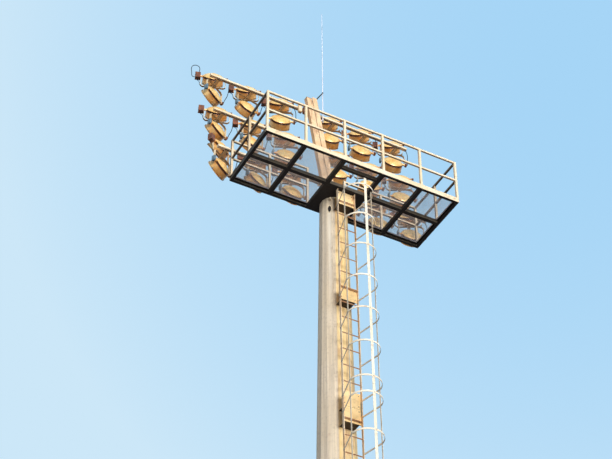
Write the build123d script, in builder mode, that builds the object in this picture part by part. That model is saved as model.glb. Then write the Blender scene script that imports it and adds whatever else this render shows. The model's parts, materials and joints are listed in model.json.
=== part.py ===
from build123d import *
import os
from math import atan, cos, degrees, radians, sin, tan

# Stadium floodlight pylon, millimetres. Origin: centre of the base flange's
# underside. +X runs along the lamp arms, +Y faces the pitch, +Z is up.

# Mast: a tapered sixteen-sided steel tube in three slip-jointed lengths
PLATFORM_UNDERSIDE = 25400
MAST_SIDES = 16
MAST_BASE_ACROSS = 1330
MAST_TOP_ACROSS = 600
MAST_JOINT_HEIGHTS = (8600, 17000)
SLIP_LAP = 500
SLIP_STEP = 7

# Base flange, its gussets and its circle of anchor bolt holes
FLANGE_ACROSS = 1900
FLANGE_THICK = 50
ANCHOR_CIRCLE = 1680
ANCHOR_COUNT = 12
ANCHOR_HOLE = 54
GUSSET_COUNT = 4
GUSSET_HEIGHT = 320
GUSSET_THICK = 20
GUSSET_EDGE = 60

# Service door frame and cover near the foot of the mast
DOOR_WIDTH = 220
DOOR_HEIGHT = 900
DOOR_THICK = 12
DOOR_FOOT = 1100
DOOR_CORNER = 60

# Platform: channel-section frame in five bays, open grating floor
BAY_COUNT = 5
BAY_LENGTH = 952
FRAME_WIDTH = 1764
FRAME_DEPTH = 120
CHANNEL_FLANGE = 70
CHANNEL_WEB = 8
BEAM_WIDTH = 90
RAIL_TO_ARM = 12
MIDDLE_BEAM_OFFSET = 35
TRIM_BEAM_OFFSET = 600
TRIM_BEAM_WIDTH = 60
GRATING_THICK = 30
GRATING_BAR = 6
GRATING_BARS_PER_BAY = 6
GRATING_TIE = 8
PANEL_GAP = 3
JOIN_GAP = 0.3
HEAD_PLATE_THICK = 30

# Guard rails
RAIL_HEIGHT = 1100
RAIL_TUBE = 42
POST_TUBE = 50
MID_RAIL_HEIGHT = 560

# Leaning headframe: box column with a cable tray beside it
SPINE_LEAN = 12.7
SPINE_WIDTH = 145
SPINE_DEPTH = 115
SPINE_HEIGHT = 4300
SPINE_OFFSET = -64
SPINE_FOOT_OFFSET = 67.5
TRAY_WIDTH = 127
TRAY_DEPTH = 110
TRAY_WALL = 8
TRAY_GAP = 17
TRAY_RISE = 100
TRAY_TIE_COUNT = 5
TRAY_TIE_HEIGHT = 40
SPINE_GUSSET = 220
SPINE_GUSSET_THICK = 16

# Lamp arms, outriggers and columns of lamps
ARM_COUNT = 3
ARM_TOP_HEIGHT = 3860
ARM_PITCH = 1440
ARM_LENGTH = 5340
ARM_TUBE = 70
ARM_SEAT = 14
LAMP_END_MARGIN = 230
LAMP_PITCH = 885
LAMP_COLUMNS = 3
OUTRIGGER_WIDTH = 70
OUTRIGGER_DEPTH = 36
UPPER_REACH = 360
UPPER_RISE = 360
LOWER_REACH = 260
LOWER_DROP = 320

# Floodlight: round drum, dark groove, shallow domed rear cover. Its stations run
# along the aim from the lens back to the cap, as (distance ahead of the pivots, radius)
LAMP_SIDES = 10
LENS_AHEAD = 160
LAMP_STATIONS = (
    (LENS_AHEAD, 258),
    (0, 240),
    (-8, 222),
    (-75, 178),
    (-133, 62),
)
BOSS_SIDE = 50

# Stirrups: flat bar bent into a U, and the terminal boxes on the upper ones
STIRRUP_BAR = 8
STIRRUP_WIDTH = 50
STIRRUP_HALF = 296
STIRRUP_BEND = 45
STIRRUP_TIP = 34
RUNNING_GAP = 0.3
BOX_REACH = 120
BOX_WIDTH = 110
BOX_HEIGHT = 170

# Service loop of cable on the first terminal box of the top arm
LOOP_CABLE = 16
LOOP_POINTS = (
    (-35, 0.3),
    (-33, 75),
    (-28, 155),
    (-55, 225),
    (-125, 262),
    (-195, 225),
    (-222, 140),
    (-212, 40),
    (-205, -50),
    (-185, -118),
    (-120.3, -135),
)

# Compass bearing of each lamp, degrees to the right of the pitch side, and
# its dip below the horizon, in rows from the top: upper then lower lamps
LAMP_BEARINGS = (
    (18, 20, 25, 28, 31, 29),
    (-31, -12, 14, 13, 9, 11),
    (16, 22, 24, 27, 30, 30),
    (-30, -14, 12, 12, 10, 12),
    (-30, 14, 20, 25, 28, 30),
    (-32, -20, -5, 10, 10, 14),
)
UPPER_DIP = 31
LOWER_DIP = 23

# Ladder with safety cage, parallel to the tapered face of the mast
LADDER_STANDOFF = 260
LADDER_WIDTH = 430
LADDER_TOP = 25370
LADDER_FOOT = 420
STRINGER_WIDTH = 60
STRINGER_THICK = 12
RUNG_PITCH = 405
RUNG_SIDE = 24
LADDER_JOINT_TOP = 19640
LADDER_SECTION = 6440
JOINT_GAP = 4
CAGE_RADIUS = 340
CAGE_CENTRE = 500
CAGE_BAR = 40
CAGE_THICK = 6
CAGE_FACETS = 5
CAGE_FOOT = 2600
CAGE_TOP = 25090
HOOP_PITCH = 920
HOOP_END_MARGIN = 190
FRONT_STRIP_WIDTH = 60
SIDE_STRIP_WIDTH = 40
BRACKET_HEIGHT = 370
BRACKET_THICK = 10
BRACKET_WEB = 45
SHELF_WIDTH = 330

# Lightning rod on two stand-off arms
ROD_RADIUS = 12
ROD_TIP_RADIUS = 5
ROD_HEIGHT = 3930
ROD_OVERLAP = 750
ROD_STANDOFF = 112
ROD_ARM = 24
ROD_ARM_FOOT = 48
ROD_ARM_PITCH = 280
ROD_SIDES = 8

LEAN = tan(radians(SPINE_LEAN))
FLOOR_TOP = PLATFORM_UNDERSIDE + FRAME_DEPTH
PLATFORM_LENGTH = BAY_COUNT * BAY_LENGTH
HEAD_PLATE_TOP = PLATFORM_UNDERSIDE + HEAD_PLATE_THICK
LAMP_FIRST = ARM_LENGTH / 2 - LAMP_END_MARGIN - (LAMP_COLUMNS - 1) * LAMP_PITCH
MAST_SLOPE = atan((MAST_BASE_ACROSS - MAST_TOP_ACROSS) / 2 / PLATFORM_UNDERSIDE)


def mast_across(height):
    """Width of the mast over its flats at a height above the ground."""
    share = height / PLATFORM_UNDERSIDE
    return MAST_BASE_ACROSS + share * (MAST_TOP_ACROSS - MAST_BASE_ACROSS)


def save(part, label):
    """Name one finished piece and write its file."""
    part.label = label
    export_step(part, f"parts/{label}.step")


def spine_centre(height):
    """Distance of the spine's middle from the mast axis at a height over the platform."""
    return SPINE_FOOT_OFFSET + LEAN * height


def arm_row(level):
    """Height over the platform and distance from the mast of one lamp arm."""
    height = ARM_TOP_HEIGHT - level * ARM_PITCH
    seat = spine_centre(height) + SPINE_DEPTH / 2 + ARM_SEAT
    return seat + ARM_TUBE / 2 / cos(radians(SPINE_LEAN)), PLATFORM_UNDERSIDE + height


# The lowest arm passes just in front of the platform's far edge and its railing
lowest_arm = arm_row(ARM_COUNT - 1)[0]
arm_half = ARM_TUBE / 2 * (cos(radians(SPINE_LEAN)) + sin(radians(SPINE_LEAN)))
far_edge = lowest_arm - arm_half - RAIL_TO_ARM


def centreline(platform_offset):
    """Row of the platform, measured from its centre line towards the ladder."""
    return far_edge - FRAME_WIDTH / 2 - platform_offset


os.makedirs("parts", exist_ok=True)


# Base flange: sixteen-sided plate with gussets and anchor holes
with BuildPart() as base_flange:
    with BuildSketch():
        RegularPolygon(FLANGE_ACROSS / 2, MAST_SIDES, major_radius=False, rotation=180 / MAST_SIDES)
        with PolarLocations(ANCHOR_CIRCLE / 2, ANCHOR_COUNT, start_angle=180 / ANCHOR_COUNT):
            Circle(ANCHOR_HOLE / 2, mode=Mode.SUBTRACT)
    extrude(amount=FLANGE_THICK)
    foot_radius = mast_across(FLANGE_THICK) / 2
    for place in range(GUSSET_COUNT):
        turn = 360 * place / GUSSET_COUNT
        with BuildSketch(Plane.XZ.rotated((0, 0, turn))):
            with BuildLine():
                Polyline(
                    (foot_radius, FLANGE_THICK),
                    (FLANGE_ACROSS / 2 - GUSSET_EDGE, FLANGE_THICK),
                    (FLANGE_ACROSS / 2 - GUSSET_EDGE, FLANGE_THICK + GUSSET_EDGE),
                    (foot_radius + GUSSET_EDGE, FLANGE_THICK + GUSSET_HEIGHT),
                    (foot_radius, FLANGE_THICK + GUSSET_HEIGHT),
                    close=True,
                )
            make_face()
        extrude(amount=GUSSET_THICK / 2, both=True)
save(base_flange.part, "base_flange")


def mast_section(height, step=0):
    """Cross-section of the mast at a height, with a flat towards each side."""
    with BuildSketch(Plane.XY.offset(height)) as section:
        RegularPolygon(
            mast_across(height) / 2 + step,
            MAST_SIDES,
            major_radius=False,
            rotation=180 / MAST_SIDES,
        )
    return section.sketch


def mast_length(foot, top, lap):
    """One tapered length of the mast, with a wider slip-joint skirt at its foot."""
    with BuildPart() as length:
        extrude(mast_section(foot), amount=top - foot, taper=degrees(MAST_SLOPE))
        if lap:
            extrude(mast_section(foot, SLIP_STEP), amount=lap, taper=degrees(MAST_SLOPE))
    return length.part


save(mast_length(FLANGE_THICK, MAST_JOINT_HEIGHTS[0], 0), "mast_lower")
save(mast_length(MAST_JOINT_HEIGHTS[0], MAST_JOINT_HEIGHTS[1], SLIP_LAP), "mast_middle")
save(mast_length(MAST_JOINT_HEIGHTS[1], PLATFORM_UNDERSIDE, SLIP_LAP), "mast_upper")


# Service door cover: round-cornered plate on the near flat of the lowest length
door_face = Plane(
    (0, -mast_across(DOOR_FOOT + DOOR_HEIGHT / 2) / 2, DOOR_FOOT + DOOR_HEIGHT / 2),
    x_dir=(1, 0, 0),
    z_dir=(0, -cos(MAST_SLOPE), sin(MAST_SLOPE)),
)
with BuildPart() as door_cover:
    with BuildSketch(door_face):
        RectangleRounded(DOOR_WIDTH, DOOR_HEIGHT, DOOR_CORNER)
    extrude(amount=DOOR_THICK)
save(door_cover.part, "door_cover")


# Rows and columns of the platform
near_edge = centreline(FRAME_WIDTH / 2)
bay_lines = [(bay - BAY_COUNT / 2) * BAY_LENGTH for bay in range(BAY_COUNT + 1)]
middle_bay = BAY_COUNT // 2
BEAM_DEPTH = FRAME_DEPTH - GRATING_THICK


# Head plate: fills the far half of the middle bay and carries frame and spine
plate_half = BAY_LENGTH / 2 - BEAM_WIDTH / 2
plate_near = centreline(MIDDLE_BEAM_OFFSET) + BEAM_WIDTH / 2
plate_far = far_edge - CHANNEL_FLANGE
with BuildPart() as head_plate:
    with BuildSketch(Plane.XY.offset(PLATFORM_UNDERSIDE)):
        with Locations((0, (plate_near + plate_far) / 2)):
            Rectangle(2 * plate_half, plate_far - plate_near)
    extrude(amount=HEAD_PLATE_THICK)
save(head_plate.part, "head_plate")


def edge_channel(outline, inwards, outer, half_length):
    """One edge channel: outline plane, direction of its flanges, outer face, half its length."""
    rise = PLATFORM_UNDERSIDE
    inner = outer + inwards * CHANNEL_FLANGE
    web = outer + inwards * CHANNEL_WEB
    with BuildPart() as channel:
        with BuildSketch(outline) as profile:
            with BuildLine():
                Polyline(
                    (outer, rise),
                    (inner, rise),
                    (inner, rise + CHANNEL_WEB),
                    (web, rise + CHANNEL_WEB),
                    (web, rise + FRAME_DEPTH - CHANNEL_WEB),
                    (inner, rise + FRAME_DEPTH - CHANNEL_WEB),
                    (inner, rise + FRAME_DEPTH),
                    (outer, rise + FRAME_DEPTH),
                    close=True,
                )
            make_face()
        extrude(profile.sketch, amount=half_length, both=True)
    return channel.part


def beam(left, right, near, far):
    """One solid beam under the grating, between four edges."""
    with BuildPart() as bar:
        with Locations(((left + right) / 2, (near + far) / 2, PLATFORM_UNDERSIDE)):
            Box(right - left, far - near, BEAM_DEPTH, align=(Align.CENTER, Align.CENTER, Align.MIN))
    return bar.part


# Platform frame: edge channels facing inwards, crossbeams, middle and trim beams
frame_bars = []
frame_bars.append(edge_channel(Plane.YZ, 1, near_edge, PLATFORM_LENGTH / 2))
frame_bars.append(edge_channel(Plane.YZ, -1, far_edge, PLATFORM_LENGTH / 2))
end_half = FRAME_WIDTH / 2 - CHANNEL_FLANGE - JOIN_GAP
end_plane = Plane((0, centreline(0), 0), x_dir=(1, 0, 0), z_dir=(0, -1, 0))
for side in (-1, 1):
    frame_bars.append(edge_channel(end_plane, -side, side * PLATFORM_LENGTH / 2, end_half))
inner_near = near_edge + CHANNEL_FLANGE + JOIN_GAP
inner_far = far_edge - CHANNEL_FLANGE - JOIN_GAP
for line in bay_lines[1:-1]:
    frame_bars.append(beam(line - BEAM_WIDTH / 2, line + BEAM_WIDTH / 2, inner_near, inner_far))
for bay in range(BAY_COUNT):
    left = bay_lines[bay] + (BEAM_WIDTH / 2 if bay else CHANNEL_FLANGE) + JOIN_GAP
    right = bay_lines[bay + 1] - (BEAM_WIDTH / 2 if bay + 1 < BAY_COUNT else CHANNEL_FLANGE) - JOIN_GAP
    middle_near = centreline(MIDDLE_BEAM_OFFSET) - BEAM_WIDTH / 2
    frame_bars.append(beam(left, right, middle_near, middle_near + BEAM_WIDTH))
    if bay == middle_bay:
        trim_near = centreline(TRIM_BEAM_OFFSET) - TRIM_BEAM_WIDTH / 2
        frame_bars.append(beam(left, right, trim_near, trim_near + TRIM_BEAM_WIDTH))
save(Compound(children=frame_bars), "platform_frame")


def grating_panel(bay, near, far):
    """Bearing bars tied at both ends, resting on the beams of one half bay."""
    left = (bay - BAY_COUNT / 2) * BAY_LENGTH + PANEL_GAP
    right = left + BAY_LENGTH - 2 * PANEL_GAP
    left = max(left, CHANNEL_FLANGE + PANEL_GAP - PLATFORM_LENGTH / 2)
    right = min(right, PLATFORM_LENGTH / 2 - CHANNEL_FLANGE - PANEL_GAP)
    bar_pitch = (right - left - GRATING_BAR) / (GRATING_BARS_PER_BAY - 1)
    with Locations(((left + right) / 2, (near + far) / 2, FLOOR_TOP - GRATING_THICK / 2)):
        with GridLocations(bar_pitch, 0, GRATING_BARS_PER_BAY, 1):
            Box(GRATING_BAR, far - near, GRATING_THICK)
        with GridLocations(0, far - near - GRATING_TIE, 1, 2):
            Box(right - left, GRATING_TIE, GRATING_THICK)


# Floor grating: two rows of panels; in the middle bay the head plate takes the
# far half, and the ladder comes up in front of a narrow strip
seat_near = near_edge + CHANNEL_FLANGE + PANEL_GAP
seat_middle = centreline(MIDDLE_BEAM_OFFSET)
seat_far = far_edge - CHANNEL_FLANGE - PANEL_GAP
with BuildPart() as floor_grating:
    grating_panel(middle_bay, seat_near, centreline(TRIM_BEAM_OFFSET))
    for bay in range(BAY_COUNT):
        if bay != middle_bay:
            grating_panel(bay, seat_near, seat_middle - PANEL_GAP)
            grating_panel(bay, seat_middle + PANEL_GAP, seat_far)
save(floor_grating.part, "floor_grating")


def rail_run(start, end, posts, levels=(MID_RAIL_HEIGHT, RAIL_HEIGHT)):
    """Square-tube rails from start to end, with a post at each place given."""
    along_x = start[1] == end[1]
    length = (end[0] - start[0]) if along_x else (end[1] - start[1])
    centre = ((start[0] + end[0]) / 2, (start[1] + end[1]) / 2)
    for level in levels:
        with Locations((centre[0], centre[1], FLOOR_TOP + level - RAIL_TUBE / 2)):
            size = (length, RAIL_TUBE) if along_x else (RAIL_TUBE, length)
            Box(size[0], size[1], RAIL_TUBE)
    for post in posts:
        with Locations((post[0], post[1], FLOOR_TOP)):
            Box(POST_TUBE, POST_TUBE, RAIL_HEIGHT, align=(Align.CENTER, Align.CENTER, Align.MIN))


rail_near = near_edge + POST_TUBE / 2
rail_far = far_edge - POST_TUBE / 2
rail_end = PLATFORM_LENGTH / 2 - POST_TUBE / 2
post_lines = [-rail_end] + bay_lines[1:-1] + [rail_end]

# Guard rails of the ladder side
with BuildPart() as railing_near:
    rail_run((-rail_end, rail_near), (rail_end, rail_near), [(x, rail_near) for x in post_lines])
save(railing_near.part, "railing_near")


# Outer guard rails: an end run on each side, with its middle and far corner posts,
# and the runs of the pitch side, open in the middle bay where the spine stands
outer_runs = []
joint = rail_near + POST_TUBE / 2 + RUNNING_GAP
outer = rail_end - POST_TUBE / 2 - RUNNING_GAP
inner = bay_lines[middle_bay + 1] - POST_TUBE / 2
for side in (-1, 1):
    end_x = side * rail_end
    with BuildPart() as end_run:
        posts = [(end_x, (rail_near + rail_far) / 2), (end_x, rail_far)]
        rail_run((end_x, joint), (end_x, rail_far + POST_TUBE / 2), posts)
    outer_runs.append(end_run.part)
    with BuildPart() as far_run:
        posts = [(side * line, rail_far) for line in bay_lines[middle_bay + 1:-1]]
        start = min(side * outer, side * inner)
        rail_run((start, rail_far), (start + outer - inner, rail_far), posts)
    outer_runs.append(far_run.part)
save(Compound(children=outer_runs), "railing_outer")


def leaning_box(centre_x, width, depth, foot, top, offset=0):
    """A straight member of the headframe, cut level at its foot and its top."""
    corners = []
    for height in (foot, top):
        middle = spine_centre(height) + offset
        corners.append((middle - depth / 2, height + PLATFORM_UNDERSIDE))
        corners.append((middle + depth / 2, height + PLATFORM_UNDERSIDE))
    with BuildSketch(Plane.YZ.offset(centre_x)) as profile:
        with BuildLine():
            Polyline(corners[0], corners[1], corners[3], corners[2], close=True)
        make_face()
    extrude(profile.sketch, amount=width / 2, both=True)


# Spine: box column on gussets, with a seat pad for each lamp arm
with BuildPart() as spine:
    leaning_box(SPINE_OFFSET, SPINE_WIDTH, SPINE_DEPTH, HEAD_PLATE_THICK, SPINE_HEIGHT)
    for side in (-1, 1):
        spine_side = SPINE_OFFSET + side * (SPINE_WIDTH / 2 - SPINE_GUSSET_THICK / 2)
        foot_edge = spine_centre(HEAD_PLATE_THICK) - SPINE_DEPTH / 2
        with BuildSketch(Plane.YZ.offset(spine_side)):
            with BuildLine():
                Polyline(
                    (foot_edge + SPINE_GUSSET_THICK, HEAD_PLATE_TOP),
                    (foot_edge - SPINE_GUSSET / 2, HEAD_PLATE_TOP),
                    (foot_edge + SPINE_GUSSET_THICK + LEAN * SPINE_GUSSET, HEAD_PLATE_TOP + SPINE_GUSSET),
                    close=True,
                )
            make_face()
        extrude(amount=SPINE_GUSSET_THICK / 2, both=True)
    for level in range(ARM_COUNT):
        height = ARM_TOP_HEIGHT - level * ARM_PITCH
        seat_middle_offset = SPINE_DEPTH / 2 + ARM_SEAT / 2
        leaning_box(
            SPINE_OFFSET, SPINE_WIDTH, ARM_SEAT, height - ARM_TUBE, height + ARM_TUBE, seat_middle_offset
        )
save(spine.part, "spine")

# Cable tray: channel open towards the spine, on short ties welded across the gap
spine_side = SPINE_OFFSET + SPINE_WIDTH / 2
tray_x = spine_side + TRAY_GAP + TRAY_WIDTH / 2
tray_top = SPINE_HEIGHT + TRAY_RISE
tray_offset = TRAY_DEPTH / 2 - SPINE_DEPTH / 2
with BuildPart() as cable_tray:
    leaning_box(tray_x, TRAY_WIDTH, TRAY_DEPTH, HEAD_PLATE_THICK, tray_top, tray_offset)
    with BuildPart(mode=Mode.SUBTRACT):
        inner_depth = TRAY_DEPTH - 2 * TRAY_WALL
        leaning_box(
            tray_x - TRAY_WALL, TRAY_WIDTH, inner_depth, HEAD_PLATE_THICK, tray_top, tray_offset
        )
    tie_pitch = (tray_top - HEAD_PLATE_THICK) / TRAY_TIE_COUNT
    for place in range(TRAY_TIE_COUNT):
        height = HEAD_PLATE_THICK + (place + 0.5) * tie_pitch
        tie_x = (spine_side + RUNNING_GAP + spine_side + TRAY_GAP) / 2
        tie_offset = TRAY_WALL / 2 - SPINE_DEPTH / 2
        leaning_box(
            tie_x,
            TRAY_GAP - RUNNING_GAP,
            TRAY_WALL,
            height,
            height + TRAY_TIE_HEIGHT,
            tie_offset,
        )
save(cable_tray.part, "cable_tray")


lamp_columns = []
for side in (-1, 1):
    for place in range(LAMP_COLUMNS):
        lamp_columns.append(side * (LAMP_FIRST + place * LAMP_PITCH))
lamp_columns.sort()

ARM_NAMES = ("top", "middle", "bottom")
outrigger_reach = UPPER_REACH + STIRRUP_WIDTH / 2


# Lamp arms: square tube with one outrigger for each pair of lamps
for level, name in enumerate(ARM_NAMES[:ARM_COUNT]):
    arm_y, arm_z = arm_row(level)
    with BuildPart() as arm:
        with Locations((0, arm_y, arm_z)):
            Box(ARM_LENGTH, ARM_TUBE, ARM_TUBE, rotation=(-SPINE_LEAN, 0, 0))
            for column in lamp_columns:
                with Locations((column, 0, 0)):
                    Box(
                        OUTRIGGER_WIDTH,
                        outrigger_reach,
                        OUTRIGGER_DEPTH,
                        align=(Align.CENTER, Align.MIN, Align.CENTER),
                    )
    save(arm.part, f"arm_{name}")


def lamp_place(level, column, upper):
    """Pivot centre of one lamp."""
    arm_y, arm_z = arm_row(level)
    if upper:
        return Vector(lamp_columns[column], arm_y + UPPER_REACH, arm_z + UPPER_RISE)
    return Vector(lamp_columns[column], arm_y + LOWER_REACH, arm_z - LOWER_DROP)


def lamp_turn(level, column, upper):
    """Bearing of one lamp, degrees to the right of the pitch side."""
    return LAMP_BEARINGS[2 * level + (0 if upper else 1)][column]


def lamp_side(level, column, upper):
    """Level direction through both pivots of one lamp, towards its right."""
    turn = radians(lamp_turn(level, column, upper))
    return Vector(cos(turn), -sin(turn), 0)


def stirrup(level, column, upper):
    """One U of flat bar from the outrigger to both sides of a lamp."""
    pivot = lamp_place(level, column, upper)
    side = lamp_side(level, column, upper)
    across = Plane(pivot, x_dir=side, z_dir=side.cross(Vector(0, 0, 1)))
    up = -1 if upper else 1
    reach = (UPPER_RISE if upper else LOWER_DROP) - OUTRIGGER_DEPTH / 2
    outer = STIRRUP_HALF + STIRRUP_BAR
    bend_in = STIRRUP_BEND + STIRRUP_BAR * tan(radians(22.5))
    right_side = [
        (outer, -up * STIRRUP_TIP),
        (outer, up * (reach - STIRRUP_BEND)),
        (outer - STIRRUP_BEND, up * reach),
    ]
    right_inside = [
        (outer - bend_in, up * (reach - STIRRUP_BAR)),
        (STIRRUP_HALF, up * (reach - bend_in)),
        (STIRRUP_HALF, -up * STIRRUP_TIP),
    ]
    left_side = [(-x, y) for x, y in reversed(right_side)]
    left_inside = [(-x, y) for x, y in reversed(right_inside)]
    with BuildPart() as bar:
        with BuildSketch(across):
            with BuildLine():
                Polyline(*right_side, *left_side, *left_inside, *right_inside, close=True)
            make_face()
        extrude(amount=STIRRUP_WIDTH / 2, both=True)
    return bar.part


# Stirrups: all in one file, none touching another
bars = []
for level in range(ARM_COUNT):
    for column in range(len(lamp_columns)):
        bars.append(stirrup(level, column, True))
        bars.append(stirrup(level, column, False))
save(Compound(children=bars), "stirrups")


def box_plane(level, column):
    """Plane on the outer face of an upper stirrup's left leg, its normal pointing away."""
    side = lamp_side(level, column, True)
    face = lamp_place(level, column, True) - side * (STIRRUP_HALF + STIRRUP_BAR)
    return Plane(face, x_dir=side.cross(Vector(0, 0, 1)), z_dir=-side)


# Terminal boxes: one on the left leg of each upper stirrup
boxes = []
for level in range(ARM_COUNT):
    for column in range(len(lamp_columns)):
        with BuildPart() as terminal_box:
            with BuildSketch(box_plane(level, column)):
                Rectangle(BOX_WIDTH, BOX_HEIGHT)
            extrude(amount=BOX_REACH)
        boxes.append(terminal_box.part)
save(Compound(children=boxes), "terminal_boxes")


# Service loop: stiff cable out of the top of the first box and back into its side
loop_side = lamp_side(0, 0, True)
loop_start = box_plane(0, 0).origin + Vector(0, 0, BOX_HEIGHT / 2)
with BuildPart() as service_loop:
    with BuildLine() as route:
        Spline(
            [loop_start + loop_side * across + Vector(0, 0, rise) for across, rise in LOOP_POINTS],
            tangents=(Vector(0, 0, 1), loop_side),
        )
    with BuildSketch(Plane(route.line @ 0, z_dir=route.line % 0)):
        RegularPolygon(LOOP_CABLE / 2, 5)
    sweep()
save(service_loop.part, "service_loop")


def floodlight(level, column, upper):
    """One lamp head turned about its pivots: drum, groove, domed cover and bosses."""
    pivot = lamp_place(level, column, upper)
    side = lamp_side(level, column, upper)
    dip = radians(UPPER_DIP if upper else LOWER_DIP)
    level_aim = Vector(0, 0, 1).cross(side)
    aim = level_aim * cos(dip) - Vector(0, 0, sin(dip))
    with BuildPart() as head:
        for start, end in zip(LAMP_STATIONS, LAMP_STATIONS[1:]):
            length = start[0] - end[0]
            narrowing = degrees(atan((start[1] - end[1]) / length))
            with BuildSketch(Plane(pivot + aim * start[0], x_dir=side, z_dir=-aim)):
                RegularPolygon(start[1], LAMP_SIDES, major_radius=False, rotation=180 / LAMP_SIDES)
            extrude(amount=length, taper=narrowing)
        with BuildSketch(Plane(pivot, x_dir=aim, z_dir=side)):
            Rectangle(BOSS_SIDE, BOSS_SIDE)
        extrude(amount=STIRRUP_HALF - RUNNING_GAP, both=True)
    return head.part


# Floodlights: one file each, named by arm, side of the arm and column
for level, name in enumerate(ARM_NAMES[:ARM_COUNT]):
    for column in range(len(lamp_columns)):
        for upper, row in ((True, "upper"), (False, "lower")):
            save(floodlight(level, column, upper), f"floodlight_{name}_{row}_{column + 1}")


# The ladder stands on its own plane, parallel to the near face of the mast
ladder_foot = Vector(0, -MAST_BASE_ACROSS / 2 - LADDER_STANDOFF, 0)
ladder_up = Vector(0, sin(MAST_SLOPE), cos(MAST_SLOPE))
LADDER = Plane(ladder_foot, x_dir=(1, 0, 0), z_dir=ladder_up)

ladder_joints = [LADDER_JOINT_TOP - place * LADDER_SECTION for place in range(3)]
ladder_ends = [LADDER_TOP] + ladder_joints + [LADDER_FOOT]


def ladder_section(foot, top):
    """Two flat stringers with square rungs set on edge between them."""
    with BuildPart(LADDER) as section:
        for side in (-1, 1):
            with Locations((side * (LADDER_WIDTH - STRINGER_THICK) / 2, 0, foot)):
                Box(
                    STRINGER_THICK,
                    STRINGER_WIDTH,
                    top - foot,
                    align=(Align.CENTER, Align.CENTER, Align.MIN),
                )
        rungs = int((top - foot - RUNG_PITCH / 2) / RUNG_PITCH)
        for place in range(rungs):
            with Locations((0, 0, top - RUNG_PITCH * (place + 0.75))):
                Box(LADDER_WIDTH - STRINGER_THICK, RUNG_SIDE, RUNG_SIDE, rotation=(45, 0, 0))
    return section.part


def section_ends(ends, place):
    """Foot and top of one section, with half the joint gap at each inner end."""
    foot = ends[place + 1] + (JOINT_GAP / 2 if place + 2 < len(ends) else 0)
    top = ends[place] - (JOINT_GAP / 2 if place else 0)
    return foot, top


# Ladder and cage: four sections each, two to a file, bolted end to end on site
SECTIONS_BY_FILE = {"upper": range(2), "lower": range(2, 4)}
for name, places in SECTIONS_BY_FILE.items():
    sections = [ladder_section(*section_ends(ladder_ends, place)) for place in places]
    save(Compound(children=sections), f"ladder_{name}")


def hoop_side(radius, inner_x):
    """Points of one face of a hoop, from the left stringer round to the right one."""
    points = [(-inner_x, STRINGER_WIDTH / 2), (-inner_x, -STRINGER_WIDTH / 2)]
    for place in range(CAGE_FACETS + 1):
        angle = radians(180 * place / CAGE_FACETS)
        points.append((-radius * cos(angle), -CAGE_CENTRE - radius * sin(angle)))
    points.append((inner_x, -STRINGER_WIDTH / 2))
    points.append((inner_x, STRINGER_WIDTH / 2))
    return points


def hoop(height):
    """One U-shaped hoop of flat bar, from stringer to stringer round the climber."""
    stringer_face = LADDER_WIDTH / 2 + JOIN_GAP
    outside = hoop_side(CAGE_RADIUS, stringer_face + CAGE_THICK)
    inside = hoop_side(CAGE_RADIUS - CAGE_THICK, stringer_face)
    with BuildSketch(LADDER.offset(height - CAGE_BAR / 2)) as profile:
        with BuildLine():
            Polyline(*outside, *reversed(inside), close=True)
        make_face()
    extrude(profile.sketch, amount=CAGE_BAR)


def cage_section(foot, top):
    """Hoops joined by one wide strip in front and a narrow one on each side."""
    hoops = max(2, round((top - foot - 2 * HOOP_END_MARGIN) / HOOP_PITCH) + 1)
    pitch = (top - foot - 2 * HOOP_END_MARGIN) / (hoops - 1)
    strip_inset = CAGE_THICK * 1.25
    front = CAGE_CENTRE + CAGE_RADIUS * cos(radians(90 / CAGE_FACETS)) - strip_inset
    with BuildPart() as cage:
        for place in range(hoops):
            hoop(foot + HOOP_END_MARGIN + place * pitch)
        with BuildSketch(LADDER.offset(foot)):
            with Locations((0, -front)):
                Rectangle(FRONT_STRIP_WIDTH, CAGE_THICK)
            for side in (-1, 1):
                with Locations((side * (CAGE_RADIUS - strip_inset), -CAGE_CENTRE)):
                    Rectangle(CAGE_THICK, SIDE_STRIP_WIDTH)
        extrude(amount=top - foot)
    return cage.part


cage_ends = [CAGE_TOP] + ladder_joints + [CAGE_FOOT]
for name, places in SECTIONS_BY_FILE.items():
    sections = [cage_section(*section_ends(cage_ends, place)) for place in places]
    save(Compound(children=sections), f"cage_{name}")


def bracket(height):
    """A plate across the stringers, with a shelf and two webs back to the mast."""
    back = STRINGER_WIDTH / 2
    reach = LADDER_STANDOFF - back - BRACKET_THICK - RUNNING_GAP
    middle = back + BRACKET_THICK + reach / 2
    with BuildPart() as plate:
        with BuildSketch(LADDER.offset(height)):
            with Locations((0, back + BRACKET_THICK / 2)):
                Rectangle(LADDER_WIDTH, BRACKET_THICK)
        extrude(amount=BRACKET_HEIGHT)
        with BuildSketch(LADDER.offset(height)):
            with Locations((0, middle)):
                Rectangle(SHELF_WIDTH, reach)
        extrude(amount=BRACKET_THICK)
        with BuildSketch(LADDER.offset(height)):
            with Locations((-BRACKET_WEB, middle), (BRACKET_WEB, middle)):
                Rectangle(BRACKET_THICK, reach)
        extrude(amount=BRACKET_HEIGHT / 2)
    return plate.part


# Ladder brackets: at the head, middle and foot of each ladder section
brackets = []
for place in range(len(ladder_ends) - 1):
    foot, top = section_ends(ladder_ends, place)
    for height in (foot, (foot + top - BRACKET_HEIGHT) / 2, top - BRACKET_HEIGHT):
        brackets.append(bracket(height))
save(Compound(children=brackets), "ladder_brackets")


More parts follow.
